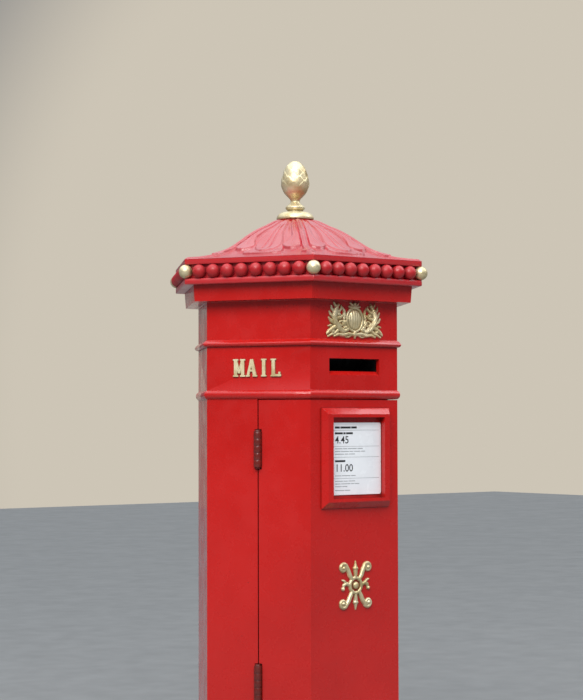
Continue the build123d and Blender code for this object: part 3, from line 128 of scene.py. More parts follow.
# ---------------------------------------------------------------- node materials
class Graph:
    """A small helper for building one material's nodes."""

    def __init__(self, name):
        self.material = bpy.data.materials.new(name)
        self.material.use_nodes = True
        self.tree = self.material.node_tree
        self.tree.nodes.clear()
        self.out = self.add("ShaderNodeOutputMaterial")
        self.shader = self.add("ShaderNodeBsdfPrincipled")
        self.link(self.shader.outputs[0], self.out.inputs[0])
        self.place = self.add("ShaderNodeTexCoord").outputs["Object"]

    def add(self, kind, **values):
        node = self.tree.nodes.new(kind)
        for key, value in values.items():
            setattr(node, key, value)
        return node

    def link(self, a, b):
        self.tree.links.new(a, b)

    def put(self, socket, value):
        """Links a node's output, or sets a plain value on the socket."""
        if isinstance(value, bpy.types.NodeSocket):
            self.link(value, socket)
        else:
            socket.default_value = value

    def noise(self, scale, detail=3, roughness=0.5, stretch=None):
        """Noise over the object; stretch scales its axes one by one."""
        node = self.add("ShaderNodeTexNoise")
        node.inputs["Scale"].default_value = scale
        node.inputs["Detail"].default_value = detail
        node.inputs["Roughness"].default_value = roughness
        source = self.place
        if stretch:
            mapping = self.add("ShaderNodeMapping")
            mapping.inputs["Scale"].default_value = stretch
            self.link(source, mapping.inputs[0])
            source = mapping.outputs[0]
        self.link(source, node.inputs["Vector"])
        return node.outputs["Fac"]

    def ramp(self, value, *stops):
        """A colour from (position, colour) stops."""
        node = self.add("ShaderNodeValToRGB")
        node.color_ramp.elements[0].position = stops[0][0]
        node.color_ramp.elements[0].color = (*stops[0][1], 1)
        node.color_ramp.elements[1].position = stops[-1][0]
        node.color_ramp.elements[1].color = (*stops[-1][1], 1)
        for position, colour in stops[1:-1]:
            node.color_ramp.elements.new(position).color = (*colour, 1)
        self.link(value, node.inputs[0])
        return node.outputs[0]

    def band(self, value, low, high, out_low=0.0, out_high=1.0):
        """A smooth change from out_low at low to out_high at high."""
        node = self.add("ShaderNodeMapRange")
        node.interpolation_type = "SMOOTHSTEP"
        for key, number in zip(("From Min", "From Max", "To Min", "To Max"), (low, high, out_low, out_high)):
            node.inputs[key].default_value = number
        self.link(value, node.inputs["Value"])
        return node.outputs[0]

    def math(self, operation, a, b):
        node = self.add("ShaderNodeMath", operation=operation)
        self.put(node.inputs[0], a)
        self.put(node.inputs[1], b)
        return node.outputs[0]

    def mix(self, factor, a, b):
        """From colour a to colour b."""
        node = self.add("ShaderNodeMix", data_type="RGBA")
        self.put(node.inputs[0], factor)
        self.put(node.inputs[6], a if isinstance(a, bpy.types.NodeSocket) else (*a, 1))
        self.put(node.inputs[7], b if isinstance(b, bpy.types.NodeSocket) else (*b, 1))
        return node.outputs[2]

    def bump(self, height, strength, distance, under=None):
        node = self.add("ShaderNodeBump")
        node.inputs["Strength"].default_value = strength
        node.inputs["Distance"].default_value = distance
        self.link(height, node.inputs["Height"])
        if under:
            self.link(under, node.inputs["Normal"])
        return node.outputs[0]

    def crevice(self, distance):
        """1 in the open, less where other surfaces are within the distance."""
        node = self.add("ShaderNodeAmbientOcclusion")
        node.samples = 6
        node.inputs["Distance"].default_value = distance
        return node.outputs["AO"]

    def finish(self, colour, roughness, bump=None, **fixed):
        """Fills in the shader; fixed holds its uniform values, named with underscores."""
        self.put(self.shader.inputs["Base Color"], colour)
        self.put(self.shader.inputs["Roughness"], roughness)
        if bump:
            self.link(bump, self.shader.inputs["Normal"])
        for key, value in fixed.items():
            self.shader.inputs[key.replace("_", " ")].default_value = value
        return self.material


def enamel(
    name, deep, clean, faded, crevice_shading, chip, crease_depth=0.40, crease_reach=0.005, gloss=0.35, rough_high=0.36,
    grime_and_shade_reach=0.022, uneven=1.0, coat_rough=0.08, below=None,
):
    """Many coats of enamel on cast iron: runs, brush marks, painted shade with grimy patches in corners and
    creases, and a few chips.
    deep, clean and faded are its three tones, and below is a height with the tone of what lies under it."""
    g = Graph(name)
    broad = g.noise(2.6, 4, 0.55)
    streak = g.noise(9.0, 4, 0.6, stretch=(1, 1, 0.16))
    colour = g.ramp(broad, (0.30, deep), (0.55, clean), (0.80, faded))
    colour = g.mix(g.band(streak, 0.55, 0.80, 0.0, 0.20), colour, faded)
    dirt_noise = g.noise(34, 5, 0.65)
    if below:
        split = g.add("ShaderNodeSeparateXYZ")
        g.link(g.place, split.inputs[0])
        height, tone = below
        colour = g.mix(g.band(split.outputs["Z"], height, height - 0.8 * MM), colour, tone)
    # painted shade in hollows within reach, broken into grimy patches by noise
    hollow = g.band(g.crevice(grime_and_shade_reach), 0.86, 0.30)
    grime_and_shade = g.math("MULTIPLY", hollow, g.band(dirt_noise, 0.30, 0.70, 0.35, 1.0))
    colour = g.mix(g.math("MULTIPLY", grime_and_shade, 0.62), colour, crevice_shading)
    # painted shade in tight creases
    crease = g.band(g.crevice(crease_reach), 0.90, 0.52)
    colour = g.mix(g.math("MULTIPLY", crease, crease_depth), colour, crevice_shading)
    speck = g.band(g.noise(150, 2, 0.4), 0.735, 0.775)
    patch = g.band(g.noise(11, 3, 0.5), 0.52, 0.62)
    chips = g.math("MULTIPLY", speck, patch)
    colour = g.mix(chips, colour, chip)
    rough = g.band(g.noise(16, 4, 0.6), 0.25, 0.75, 0.45 * rough_high, rough_high)
    rough = g.math("ADD", rough, g.math("MULTIPLY", grime_and_shade, 0.30))
    lumps = g.bump(g.noise(22, 3, 0.5), 0.11 * uneven, 0.004)
    peel = g.bump(g.noise(200, 2, 0.5), 0.035 * uneven, 0.0012, lumps)
    pits = g.bump(chips, -0.35, 0.0006, peel)
    return g.finish(colour, rough, pits, Coat_Weight=gloss, Coat_Roughness=coat_rough, Specular_IOR_Level=0.5)


def gilding(name, shade=0.75, hollow_tone=(0.23, 0.13, 0.035), metal=0.55):
    """Gold paint: brushed on, with painted shade, darker and warmer, in the hollows, and pale flecks."""
    g = Graph(name)
    tone = g.noise(26, 4, 0.6)
    dark, middle, light = (0.48, 0.35, 0.14), (0.74, 0.62, 0.36), (0.88, 0.80, 0.56)
    colour = g.ramp(tone, (0.28, dark), (0.50, middle), (0.78, light))
    # painted shade in the hollows
    hollow = g.band(g.crevice(0.010), 0.88, 0.35)
    colour = g.mix(g.math("MULTIPLY", hollow, shade), colour, hollow_tone)
    fleck = g.band(g.noise(170, 3, 0.6), 0.62, 0.74)
    colour = g.mix(g.math("MULTIPLY", fleck, 0.5), colour, (0.98, 0.93, 0.74))
    rough = g.band(g.noise(60, 4, 0.6), 0.25, 0.75, 0.27, 0.48)
    leafed = g.bump(g.noise(75, 3, 0.6), 0.30, 0.0016)
    brushed = g.bump(g.noise(260, 3, 0.6), 0.16, 0.0008, leafed)
    return g.finish(
        colour, rough, brushed, Metallic=metal, Specular_IOR_Level=0.6, Coat_Weight=0.15, Coat_Roughness=0.25,
    )


def bare_metal(name, dark, light, rough_low, rough_high, grain=300.0):
    """Machined or rolled metal with fine grain and some staining."""
    g = Graph(name)
    stain = g.noise(30, 5, 0.65)
    colour = g.ramp(stain, (0.30, dark), (0.70, light))
    # painted shade, a dark brown, in crevices
    crevice_shading = g.band(g.crevice(0.006), 0.85, 0.35)
    colour = g.mix(g.math("MULTIPLY", crevice_shading, 0.6), colour, (0.045, 0.035, 0.028))
    rough = g.band(g.noise(80, 4, 0.6), 0.25, 0.75, rough_low, rough_high)
    scratch = g.bump(g.noise(grain, 3, 0.5, stretch=(1, 1, 0.12)), 0.18, 0.0008)
    return g.finish(colour, rough, scratch, Metallic=0.95)


def galvanised(name):
    """Hot-dip galvanised sheet and wire with a crystal spangle."""
    g = Graph(name)
    cells = g.add("ShaderNodeTexVoronoi")
    cells.inputs["Scale"].default_value = 70
    g.link(g.place, cells.inputs["Vector"])
    grey = g.ramp(cells.outputs["Color"], (0.2, (0.40, 0.42, 0.44)), (0.8, (0.62, 0.64, 0.66)))
    colour = g.mix(g.band(g.noise(12, 4, 0.6), 0.4, 0.75, 0, 0.5), grey, (0.34, 0.33, 0.31))
    shade = g.band(g.crevice(0.16), 0.62, 0.18)
    colour = g.mix(g.math("MULTIPLY", shade, 0.93), colour, (0.012, 0.011, 0.010))
    rough = g.band(cells.outputs["Distance"], 0.0, 0.7, 0.32, 0.52)
    return g.finish(colour, rough, g.bump(g.noise(90, 3), 0.12, 0.001), Metallic=0.8)


def white_enamel(name):
    """The white face of the collection plate, a little uneven, with painted shade greying it round its edge.
    """
    g = Graph(name)
    tone = g.ramp(g.noise(14, 4, 0.6), (0.3, (0.86, 0.88, 0.91)), (0.7, (0.95, 0.97, 0.99)))
    # painted shade round the plate's edge, inside the frame
    edge = g.band(g.crevice(0.012), 0.9, 0.4)
    colour = g.mix(g.math("MULTIPLY", edge, 0.5), tone, (0.45, 0.43, 0.40))
    rough = g.band(g.noise(40, 3), 0.3, 0.7, 0.16, 0.30)
    return g.finish(colour, rough, g.bump(g.noise(30, 2), 0.05, 0.001), Coat_Weight=0.3, Coat_Roughness=0.08)


def ink(name, tone):
    """Printed ink, thinner in places."""
    g = Graph(name)
    thin = tuple(c * 1.7 + 0.01 for c in tone)
    colour = g.ramp(g.noise(220, 3), (0.3, tone), (0.8, thin))
    rough = g.band(g.noise(90, 2), 0.3, 0.7, 0.35, 0.55)
    return g.finish(colour, rough, g.bump(g.noise(300, 2), 0.1, 0.0002))


def paving(name):
    """The plain matt floor."""
    g = Graph(name)
    colour = g.ramp(g.noise(9.0, 5), (0.3, (0.158, 0.158, 0.156)), (0.7, (0.182, 0.182, 0.180)))
    rough = g.band(g.noise(3, 3), 0.3, 0.7, 0.75, 0.9)
    return g.finish(colour, rough, g.bump(g.noise(60, 3), 0.05, 0.001))


RED = enamel(
    "red_enamel",
    deep=(0.50, 0.0075, 0.0050), clean=(0.585, 0.0095, 0.0065), faded=(0.65, 0.016, 0.013),
    crevice_shading=(0.085, 0.009, 0.006), chip=(0.24, 0.009, 0.007),
)
# The roof's red is a darker copy of the body's, as painted shade for the stronger light the roof takes from
# above; below the roof edge the rim keeps a red like the body's, and its crevice shading is a brighter red,
# painted light on the leaves' steps and creases.
ROOF_RED = enamel(
    "roof_red_enamel",
    deep=(0.34, 0.0080, 0.0130), clean=(0.39, 0.0120, 0.0180), faded=(0.44, 0.022, 0.030),
    crevice_shading=(0.52, 0.003, 0.022), chip=(0.24, 0.009, 0.007),
    crease_depth=0.95, crease_reach=0.005, gloss=0.85, rough_high=0.50, grime_and_shade_reach=0.005, uneven=0.10,
    coat_rough=0.30, below=(ROOF_EDGE - 1.2 * MM, (0.58, 0.014, 0.018)),
)
BEAD_RED = enamel(
    "bead_red_enamel",
    deep=(0.40, 0.0080, 0.0110), clean=(0.46, 0.0110, 0.0150), faded=(0.52, 0.018, 0.024),
    crevice_shading=(0.090, 0.009, 0.008), chip=(0.24, 0.009, 0.007), gloss=0.12, rough_high=0.62,
)
RED_WORN = enamel(
    "worn_red_enamel",
    deep=(0.10, 0.013, 0.009), clean=(0.17, 0.016, 0.010), faded=(0.30, 0.020, 0.014),
    crevice_shading=(0.050, 0.022, 0.012), chip=(0.11, 0.070, 0.040),
)
BLACK = enamel(
    "black_enamel",
    deep=(0.008, 0.008, 0.009), clean=(0.012, 0.012, 0.013), faded=(0.028, 0.028, 0.029),
    crevice_shading=(0.060, 0.050, 0.040), chip=(0.10, 0.085, 0.07),
)
JAPAN = enamel(
    "japanned_steel",
    deep=(0.010, 0.008, 0.007), clean=(0.018, 0.014, 0.012), faded=(0.03, 0.025, 0.02),
    crevice_shading=(0.05, 0.04, 0.03), chip=(0.15, 0.11, 0.08),
)
GOLD = gilding("gold_paint")
LETTER_GOLD = gilding("letter_gold_paint", shade=0.40, hollow_tone=(0.55, 0.38, 0.16), metal=0.10)
STEEL = bare_metal("zinc_steel", (0.30, 0.30, 0.31), (0.52, 0.52, 0.53), 0.28, 0.50)
BRASS = bare_metal("worn_brass", (0.42, 0.28, 0.10), (0.75, 0.55, 0.24), 0.22, 0.42)
ZINC = galvanised("galvanised_sheet")
WHITE = white_enamel("white_enamel")
INK = ink("print_black", (0.012, 0.012, 0.014))
GREY_INK = ink("print_grey", (0.20, 0.21, 0.22))
FLOOR = paving("pale_floor")

SLOT_MATERIAL = {
    "red_paint": RED, "gold_paint": GOLD, "black_paint": BLACK, "steel_fastener": STEEL,
    "galvanised_sheet": ZINC, "lock_japan": JAPAN, "brass": BRASS, "white_enamel": WHITE,
}


def dress_frame():
    """Every CAD node gets its procedural finish, and its hard edges a small rounded bevel."""
    slot_of = {part["node"]: part["material_slot"] for part in frame["record"]["subparts"]}
    softness = {
        "head_casting": 1.6, "shaft_casting": 1.8, "plinth_base": 3.0, "door_panel": 1.6,
        "notice_frame": 1.4, "notice_backing": 0.3, "notice_plate": 0.5, "letter_chute": 0.4,
        "letters_left": 0.9, "letters_right": 0.9,
        "keyhole_escutcheon": 0.6, "keyhole_cover": 0.6, "lock_case": 0.5,
    }
    for name, obj in nodes.items():
        obj.data.materials.clear()
        handled = "hinge" in name and "screws" not in name
        finish = RED_WORN if handled else SLOT_MATERIAL[slot_of[name]]
        obj.data.materials.append(LETTER_GOLD if name.startswith("letters_") else finish)
        weld = obj.modifiers.new("weld", "WELD")
        weld.merge_threshold = 1e-5
        bevel = obj.modifiers.new("soft_edges", "BEVEL")
        bevel.width = softness.get(name, 0.35) * MM
        bevel.segments = 2
        bevel.limit_method = "ANGLE"
        bevel.angle_limit = radians(28)
        bevel.harden_normals = True


# ---------------------------------------------------------------- roof with its leaf relief
# the roof's height, as a share of its rise, at shares of its reach from the axis
ROOF_SHAPE = (
    (0.13, 0.985), (0.28, 0.845), (0.41, 0.645), (0.51, 0.44),
    (0.60, 0.27), (0.70, 0.155), (0.84, 0.055), (1.0, 0.0),
)
ROOF_REACH = 315    # mm from the axis to the foot of the slope


def spline_through(points):
    """A natural cubic spline through (x, y) points, as a function."""
    x = np.array([p[0] for p in points])
    y = np.array([p[1] for p in points])
    h = np.diff(x)
    size = len(x)
    rows = np.zeros((size, size))
    right = np.zeros(size)
    rows[0, 0] = rows[-1, -1] = 1
    for i in range(1, size - 1):
        rows[i, i - 1 : i + 2] = (h[i - 1], 2 * (h[i - 1] + h[i]), h[i])
        right[i] = 6 * ((y[i + 1] - y[i]) / h[i] - (y[i] - y[i - 1]) / h[i - 1])
    bend = np.linalg.solve(rows, right)

    def value(at):
        at = np.asarray(at, dtype=float)
        i = np.clip(np.searchsorted(x, at) - 1, 0, size - 2)
        a = x[i + 1] - at
        b = at - x[i]
        return (
            bend[i] * a**3 / (6 * h[i]) + bend[i + 1] * b**3 / (6 * h[i])
            + (y[i] / h[i] - bend[i] * h[i] / 6) * a + (y[i + 1] / h[i] - bend[i + 1] * h[i] / 6) * b
        )

    return value


roof_height = spline_through(ROOF_SHAPE)


# outlines of the leaves, as half widths or places across the side (mm) at distances from the axis (mm),
# the last of which is the leaf's tip
UNDER_LEAF = (
    (40, 100, 138, 167, 183, 195, 211, 228, 238, 243, 246.5),
    (6, 16, 24, 36, 41, 47, 53, 55, 50, 40, 0),
)
TONGUE = ((40, 100, 138, 167, 183, 195, 211, 222, 228, 231), (5, 14, 21, 33, 35.5, 33, 26, 16, 9, 0))
SIDE_INNER = ((40, 90, 145, 160, 170, 183, 193, 200, 204), (9, 25, 51, 49, 44, 38, 47, 58, 71))
SIDE_OUTER = ((40, 168, 180, 192, 200, 204), (400, 100, 94, 92, 84, 71))
HIP_BAND = ((40, 120, 215, 238, 241.5), (7, 8.5, 9.5, 19, 0))
EDGE_STEP = (-0.6, 1.8)    # mm across a leaf's outline over which its edge rises
TIP_STEP = (-0.4, 1.8)     # the same at its tip


def at(outline, a):
    """An outline's width or place at a distance from the axis."""
    return float(np.interp(a, *outline))


def before_tip(outline, a, low=TIP_STEP[0], high=TIP_STEP[1]):
    """1 inside a leaf's tip and 0 past it."""
    return smoothstep(outline[0][-1] - a, low, high)


def clearance(outline, a, d):
    """How far inside an outline a point is, square to its edge."""
    slope = at(outline, a + 0.5) - at(outline, a - 0.5)
    return (at(outline, a) - d) / sqrt(1 + slope * slope)


def line(distance, width):
    """A soft ridge or groove either side of a line."""
    return np.exp(-((distance / width) ** 2))


def broad_leaves(a, d):
    """The broad leaf in the middle of a side and the tongue that lies on it."""
    under_edge = clearance(UNDER_LEAF, a, d)
    under = smoothstep(under_edge, *EDGE_STEP) * before_tip(UNDER_LEAF, a) * (3.0 + 3.4 * (a / 246) ** 2)
    raised = smoothstep(clearance(TONGUE, a, d), *EDGE_STEP) * before_tip(TONGUE, a)
    vein_fade = smoothstep(a, 66, 105) * smoothstep(226 - a, 0, 30)
    vein = 3.0 + 6.0 * np.clip((a - 60) / 140, 0, 1)
    middle = under + raised * (3.6 + 0.9 * (1 - np.clip(d / max(at(TONGUE, a), 1), 0, 1) ** 2))
    middle = middle - raised * vein_fade * 2.9 * line(d - vein, 1.6)
    middle = middle + raised * vein_fade * 0.9 * line(d, vein * 0.6)
    # the hollow just inside the broad leaf's rolled rim
    rim = smoothstep(a, 190, 205) * before_tip(UNDER_LEAF, a, 2, 6) * 1.2 * line(under_edge - 6.5, 3.0)
    return middle - rim, raised


def side_leaf(a, d, half):
    """The cupped leaf between the tongue and the hip, with its vein."""
    low = at(SIDE_INNER, a)
    high = np.minimum(at(SIDE_OUTER, a), half - (at(HIP_BAND, min(a, 215)) + 2.2) / COS30)
    centre = (low + high) / 2
    spread = max((high - low) / 2, 0.5)
    inner_edge = -clearance(SIDE_INNER, a, d)
    outer_edge = np.minimum(clearance(SIDE_OUTER, a, d), high - d)
    inside = smoothstep(np.minimum(inner_edge, outer_edge), *EDGE_STEP) * before_tip(SIDE_INNER, a)
    cup = 1 - np.clip(np.abs(d - centre) / spread, 0, 1) ** 2
    side = inside * (4.4 + 3.6 * (a / 204) ** 2 + 1.2 * cup)
    vein_fade = smoothstep(a, 70, 100) * smoothstep(196 - a, 0, 30)
    return side - inside * vein_fade * 1.3 * line(d - centre, 1.4), inside


def hip_band(a, to_hip):
    """The band that covers a hip, with a rolled ridge and a foot that spreads."""
    on_hip = smoothstep(clearance(HIP_BAND, a, to_hip), -0.6, 1.6) * before_tip(HIP_BAND, a)
    groove = 1.3 * line(to_hip - at(HIP_BAND, a) + 3.0, 1.2)
    hip = on_hip * (7.0 + 1.0 * line(to_hip, 3.5) - groove)
    return np.maximum(hip, smoothstep(7.5 - to_hip, -0.6, 1.2) * 5.2)


def leaf_relief(a, t):
    """Height in mm of the cast leaves above the plain roof, a mm from the axis and t mm across."""
    half = a * TAN30
    d = np.abs(t)
    middle, raised = broad_leaves(a, d)
    side, inside = side_leaf(a, d, half)
    low = at(SIDE_INNER, a)
    lace = smoothstep(a, 80, 120) * smoothstep(176 - a, 0, 40) * (1 - inside) * (1 - raised)
    gap_centre = (at(TONGUE, a) + low) / 2
    gap = lace * 1.5 * line(d - gap_centre, max((low - at(TONGUE, a)) * 0.22, 1.6))
    hip = hip_band(a, (half - d) * COS30)
    relief = np.maximum(np.maximum(middle, side), np.maximum(hip, gap))
    depth = 0.42 + 0.58 * smoothstep(a, 60, 185)
    lift = 5.5 * smoothstep(94 - a, 0, 38)
    return relief * depth * smoothstep(a, 40, 50) * smoothstep(314 - a, 0, 5) + lift


def roof_piece():
    """The roof casting as one closed skin: leaves on top, plates and bead wall at the eave, hollow below."""
    columns = 160
    flange_clear = 54
    # distances from the axis in mm, closer together where leaves end
    rows = np.concatenate([
        np.linspace(38, 60, 7), np.linspace(62, 154, 42), np.linspace(155.4, 207, 44),
        np.linspace(208, 227, 13), np.linspace(228, 249, 34), np.linspace(252, ROOF_REACH, 9),
    ])
    across = np.linspace(-1, 1, columns + 1)
    shell = 10 * MM
    round_over = 0.8 * MM
    foot_round = 1.2 * MM
    ledge = EAVE - 83 * MM
    inner_wall = BEAD_WALL - shell
    rim = [
        (EAVE, ROOF_EDGE - round_over), (EAVE, ROOF_BASE + round_over), (EAVE - round_over, ROOF_BASE),
        (BEAD_WALL, ROOF_BASE), (BEAD_WALL, BEAD_FLOOR),
        (EAVE - round_over, BEAD_FLOOR), (EAVE, BEAD_FLOOR - round_over),
        (EAVE, ROOF_FOOT + foot_round), (EAVE - foot_round, ROOF_FOOT), (ledge, ROOF_FOOT),
        (ledge, BEAD_FLOOR), (inner_wall, BEAD_FLOOR), (inner_wall, ROOF_BASE),
    ]
    under = [
        (a * MM, roof_height(a / ROOF_REACH) * ROOF_RISE + ROOF_EDGE - shell)
        for a in np.linspace(262, 52, 16)
    ]
    profile = rim + under
    verts = []
    faces = []
    for face in FACES:
        out = np.array(normal(face))
        side = np.array(along(face))
        start = len(verts)
        for a in rows:
            t = across * a * TAN30
            z = ROOF_EDGE + ROOF_RISE * float(roof_height(a / ROOF_REACH)) + leaf_relief(a, t) * MM
            # next to the axis the leaves stay just below the finial's flange
            z = np.minimum(z, CROWN_TOP + (2 if a > flange_clear else -0.6) * MM)
            verts.extend(out * a * MM + side * x * MM + np.array((0, 0, h)) for x, h in zip(t, z))
        for a, height in profile:
            for x in across * a * TAN30:
                verts.append(out * a + side * x + np.array((0, 0, height)))
        count = len(rows) + len(profile)
        for i in range(count - 1):
            for j in range(columns):
                k = start + i * (columns + 1) + j
                faces.append((k, k + 1, k + columns + 2, k + columns + 1))
    roof = new_object("roof_leaves", verts, faces, ROOF_RED)
    roof.data.set_sharp_from_angle(angle=radians(70))
    return roof


def lathe(name, profile, steps, material, relief=None):
    """A turned shape about the axis; relief moves a point out by a function of angle and row."""
    verts = []
    faces = []
    for i, (r, z) in enumerate(profile):
        for j in range(steps):
            angle = 2 * pi * j / steps
            radius = r + (relief(angle, z) if relief else 0)
            verts.append((radius * cos(angle), radius * sin(angle), z))
    for i in range(len(profile) - 1):
        for j in range(steps):
            k = (j + 1) % steps
            faces.append((i * steps + j, i * steps + k, (i + 1) * steps + k, (i + 1) * steps + j))
    return new_object(name, verts, faces, material)


def crown_pad():
    """The round boss at the top of the roof that the finial sits on."""
    top = CROWN_TOP
    r = CROWN_RADIUS
    profile = [
        (r + 6 * MM, top - 9 * MM), (r + 1 * MM, top - 5 * MM), (r, top - 1 * MM), (r - 1 * MM, top),
        (STUD_HOLE, top), (STUD_HOLE, top - 24 * MM),
    ]
    return lathe("roof_crown", profile, 72, RED)


# ---------------------------------------------------------------- beads and corner balls
def ball(centre, radius, keep, rows=20, columns=32):
    """A slightly uneven cast ball; keep pushes points out of the wall behind."""
    verts = []
    faces = []
    seed = Vector(centre) * 31
    for i in range(rows + 1):
        polar = pi * i / rows
        for j in range(columns):
            turn = 2 * pi * j / columns
            way = Vector((sin(polar) * cos(turn), sin(polar) * sin(turn), cos(polar)))
            swell = 1 - 0.012 + 0.012 * noise.noise(way * 2.3 + seed)
            verts.append(keep(Vector(centre) + way * radius * swell))
    for i in range(rows):
        for j in range(columns):
            k = (j + 1) % columns
            faces.append((i * columns + j, i * columns + k, (i + 1) * columns + k, (i + 1) * columns + j))
    return verts, faces


def outside_wall(point):
    """Moves a point that is inside the bead wall out to the wall's face."""
    deepest = max(FACES, key=lambda angle: point.dot(normal(angle)))
    short = BEAD_WALL - 0.5 * MM - point.dot(normal(deepest))
    return point + normal(deepest) * short if short > 0 else point


def gather(name, parts, material):
    """One object from several lots of points and faces."""
    verts = []
    faces = []
    for part_verts, part_faces in parts:
        start = len(verts)
        verts.extend(part_verts)
        faces.extend(tuple(v + start for v in face) for face in part_faces)
    return new_object(name, verts, faces, material)


def beads():
    """The row of red balls round the eave, evenly spaced between the corners."""
    pitch = 2 * EAVE * TAN30 / (BEADS_PER_SIDE + 1)
    middle = BEAD_FLOOR + BEAD_GAP / 2
    parts = []
    for face in FACES:
        for k in range(BEADS_PER_SIDE):
            t = (k - (BEADS_PER_SIDE - 1) / 2) * pitch
            centre = normal(face) * (EAVE - BEAD_SET_IN) + along(face) * t + Vector((0, 0, middle))
            parts.append(ball(centre, BEAD_RADIUS, outside_wall))
    return gather("eave_beads", parts, BEAD_RED)


def corner_balls():
    """A gilded ball at each corner of the eave."""
    middle = BEAD_FLOOR + BEAD_GAP / 2
    parts = []
    for face in FACES:
        centre = normal(face + 30) * (EAVE / COS30 - BEAD_SET_IN) + Vector((0, 0, middle))
        parts.append(ball(centre, BALL_RADIUS, outside_wall, 24, 40))
    return gather("gilded_corner_balls", parts, GOLD)


# ---------------------------------------------------------------- finial
def finial():
    """Turned stem and a closed bud wrapped in overlapping scales."""
    low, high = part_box("finial_bud")
    foot = low[2]
    top = high[2] - foot
    flange = high[0]
    neck = 12.5 * MM
    ring = 26.5 * MM
    bud_low = 53 * MM
    bud_radius = 37.6 * MM
    stem = [
        (STUD_HOLE, 0), (flange - 1 * MM, 0), (flange, 1 * MM),
        (flange, 5.5 * MM), (flange - 0.8 * MM, 8 * MM),
        (flange - 2.6 * MM, 11.5 * MM), (flange - 5.5 * MM, 15 * MM), (flange - 9.5 * MM, 18.2 * MM),
        (flange - 15 * MM, 20.8 * MM), (flange - 22 * MM, 22.2 * MM), (neck + 8 * MM, 23.2 * MM),
        (neck + 7.2 * MM, 24.4 * MM), (neck + 10 * MM, 27 * MM), (ring - 1 * MM, 30 * MM), (ring, 31.8 * MM),
        (ring, 34.6 * MM), (ring - 0.8 * MM, 36.2 * MM), (ring - 4.2 * MM, 39.5 * MM),
        (ring - 8.6 * MM, 42.8 * MM), (neck + 2.4 * MM, 46 * MM), (neck + 0.5 * MM, 48.6 * MM),
        (neck, 51 * MM), (neck, bud_low),
    ]
    bud_shape = spline_through((
        (0, 0.33), (0.05, 0.42), (0.10, 0.56), (0.19, 0.79), (0.29, 0.93), (0.39, 1.0), (0.48, 0.99),
        (0.62, 0.90), (0.80, 0.73), (0.89, 0.57), (0.955, 0.38), (0.988, 0.20), (1.0, 0.02),
    ))
    bud = []
    for s in np.linspace(0, 1, 130):
        bud.append((bud_radius * float(bud_shape(s)), bud_low + (top - bud_low) * s))
    profile = [(r, foot + z) for r, z in stem + bud[1:]]
    rows = 6
    around = 7

    def scales(angle, z):
        """Overlapping pointed scales on the upper part; the cup below stays plain."""
        s = (z - foot - bud_low) / (top - bud_low)
        if s <= 0.2:
            return 0
        swell = 0
        for k in range(rows):
            tip = 0.50 + 0.105 * k
            phase = (angle / (2 * pi) * around + 0.5 * (k % 2) + 0.13) % 1 - 0.5
            edge = tip - 0.34 * abs(phase) ** 1.2
            x = min(max((edge - s) / 0.022 + 0.5, 0), 1)
            lap = max(0, 1 - max(edge - s, 0) / 0.20)
            rib = exp(-((phase / 0.05) ** 2)) * x * lap * 0.35
            swell += x * x * (3 - 2 * x) * lap * 0.95 + rib
        return swell * MM * min(1, (1 - s) / 0.12) * min(1, (s - 0.2) / 0.12)

    return lathe("gilded_bud", profile, 192, GOLD, scales)


# ---------------------------------------------------------------- cast ornaments
def relief_piece(name, angle, z, width, height, depth, strokes, domes, cell, extra=None):
    """A cast ornament from rounded strokes and domes on a face, in mm about its middle.
    A stroke is a list of (x, y, radius) points; a dome is (x, y, half width, half height, rise)."""
    nx = int(width / cell) + 1
    ny = int(height / cell) + 1
    x = np.linspace(-width / 2, width / 2, nx)
    y = np.linspace(-height / 2, height / 2, ny)
    grid_x, grid_y = np.meshgrid(x, y)
    level = np.zeros_like(grid_x)
    for points in strokes:
        for (x0, y0, r0), (x1, y1, r1) in zip(points[:-1], points[1:]):
            dx, dy = x1 - x0, y1 - y0
            share = np.clip(((grid_x - x0) * dx + (grid_y - y0) * dy) / max(dx * dx + dy * dy, 1e-9), 0, 1)
            away = np.hypot(grid_x - x0 - share * dx, grid_y - y0 - share * dy)
            radius = r0 + share * (r1 - r0)
            rise = np.sqrt(np.clip(1 - (away / radius) ** 2, 0, 1)) * (1.5 + radius * 0.85)
            level = np.maximum(level, rise)
    for cx, cy, rx, ry, rise in domes:
        away = ((grid_x - cx) / rx) ** 2 + ((grid_y - cy) / ry) ** 2
        level = np.maximum(level, np.sqrt(np.clip(1 - away, 0, 1)) * rise)
    if extra:
        level = extra(grid_x, grid_y, level)
    level = np.clip(level, 0, depth)
    place = face_matrix(angle, 0, BODY_APOTHEM, z)
    keep = level > 0.05
    index = -np.ones(level.shape, dtype=int)
    verts = []
    for i in range(ny):
        for j in range(nx):
            around = keep[max(i - 1, 0) : i + 2, max(j - 1, 0) : j + 2]
            if around.any():
                index[i, j] = len(verts)
                lift = level[i, j] if keep[i, j] else -0.2
                verts.append(place @ Vector((grid_x[i, j] * MM, grid_y[i, j] * MM, lift * MM)))
    faces = []
    for i in range(ny - 1):
        for j in range(nx - 1):
            corners = (index[i, j], index[i, j + 1], index[i + 1, j + 1], index[i + 1, j])
            if min(corners) >= 0 and keep[i : i + 2, j : j + 2].any():
                faces.append(corners)
    return new_object(name, verts, faces, GOLD)


def spiral(cx, cy, start, turns, outer, inner, thick_out, thick_in, steps=26):
    """Points of a spiral stroke that winds in from outer to inner radius."""
    points = []
    for k in range(steps + 1):
        share = k / steps
        angle = radians(start) + turns * 2 * pi * share
        radius = outer + (inner - outer) * share
        thick = thick_out + (thick_in - thick_out) * share
        points.append((cx + radius * cos(angle), cy + radius * sin(angle), thick))
    return points


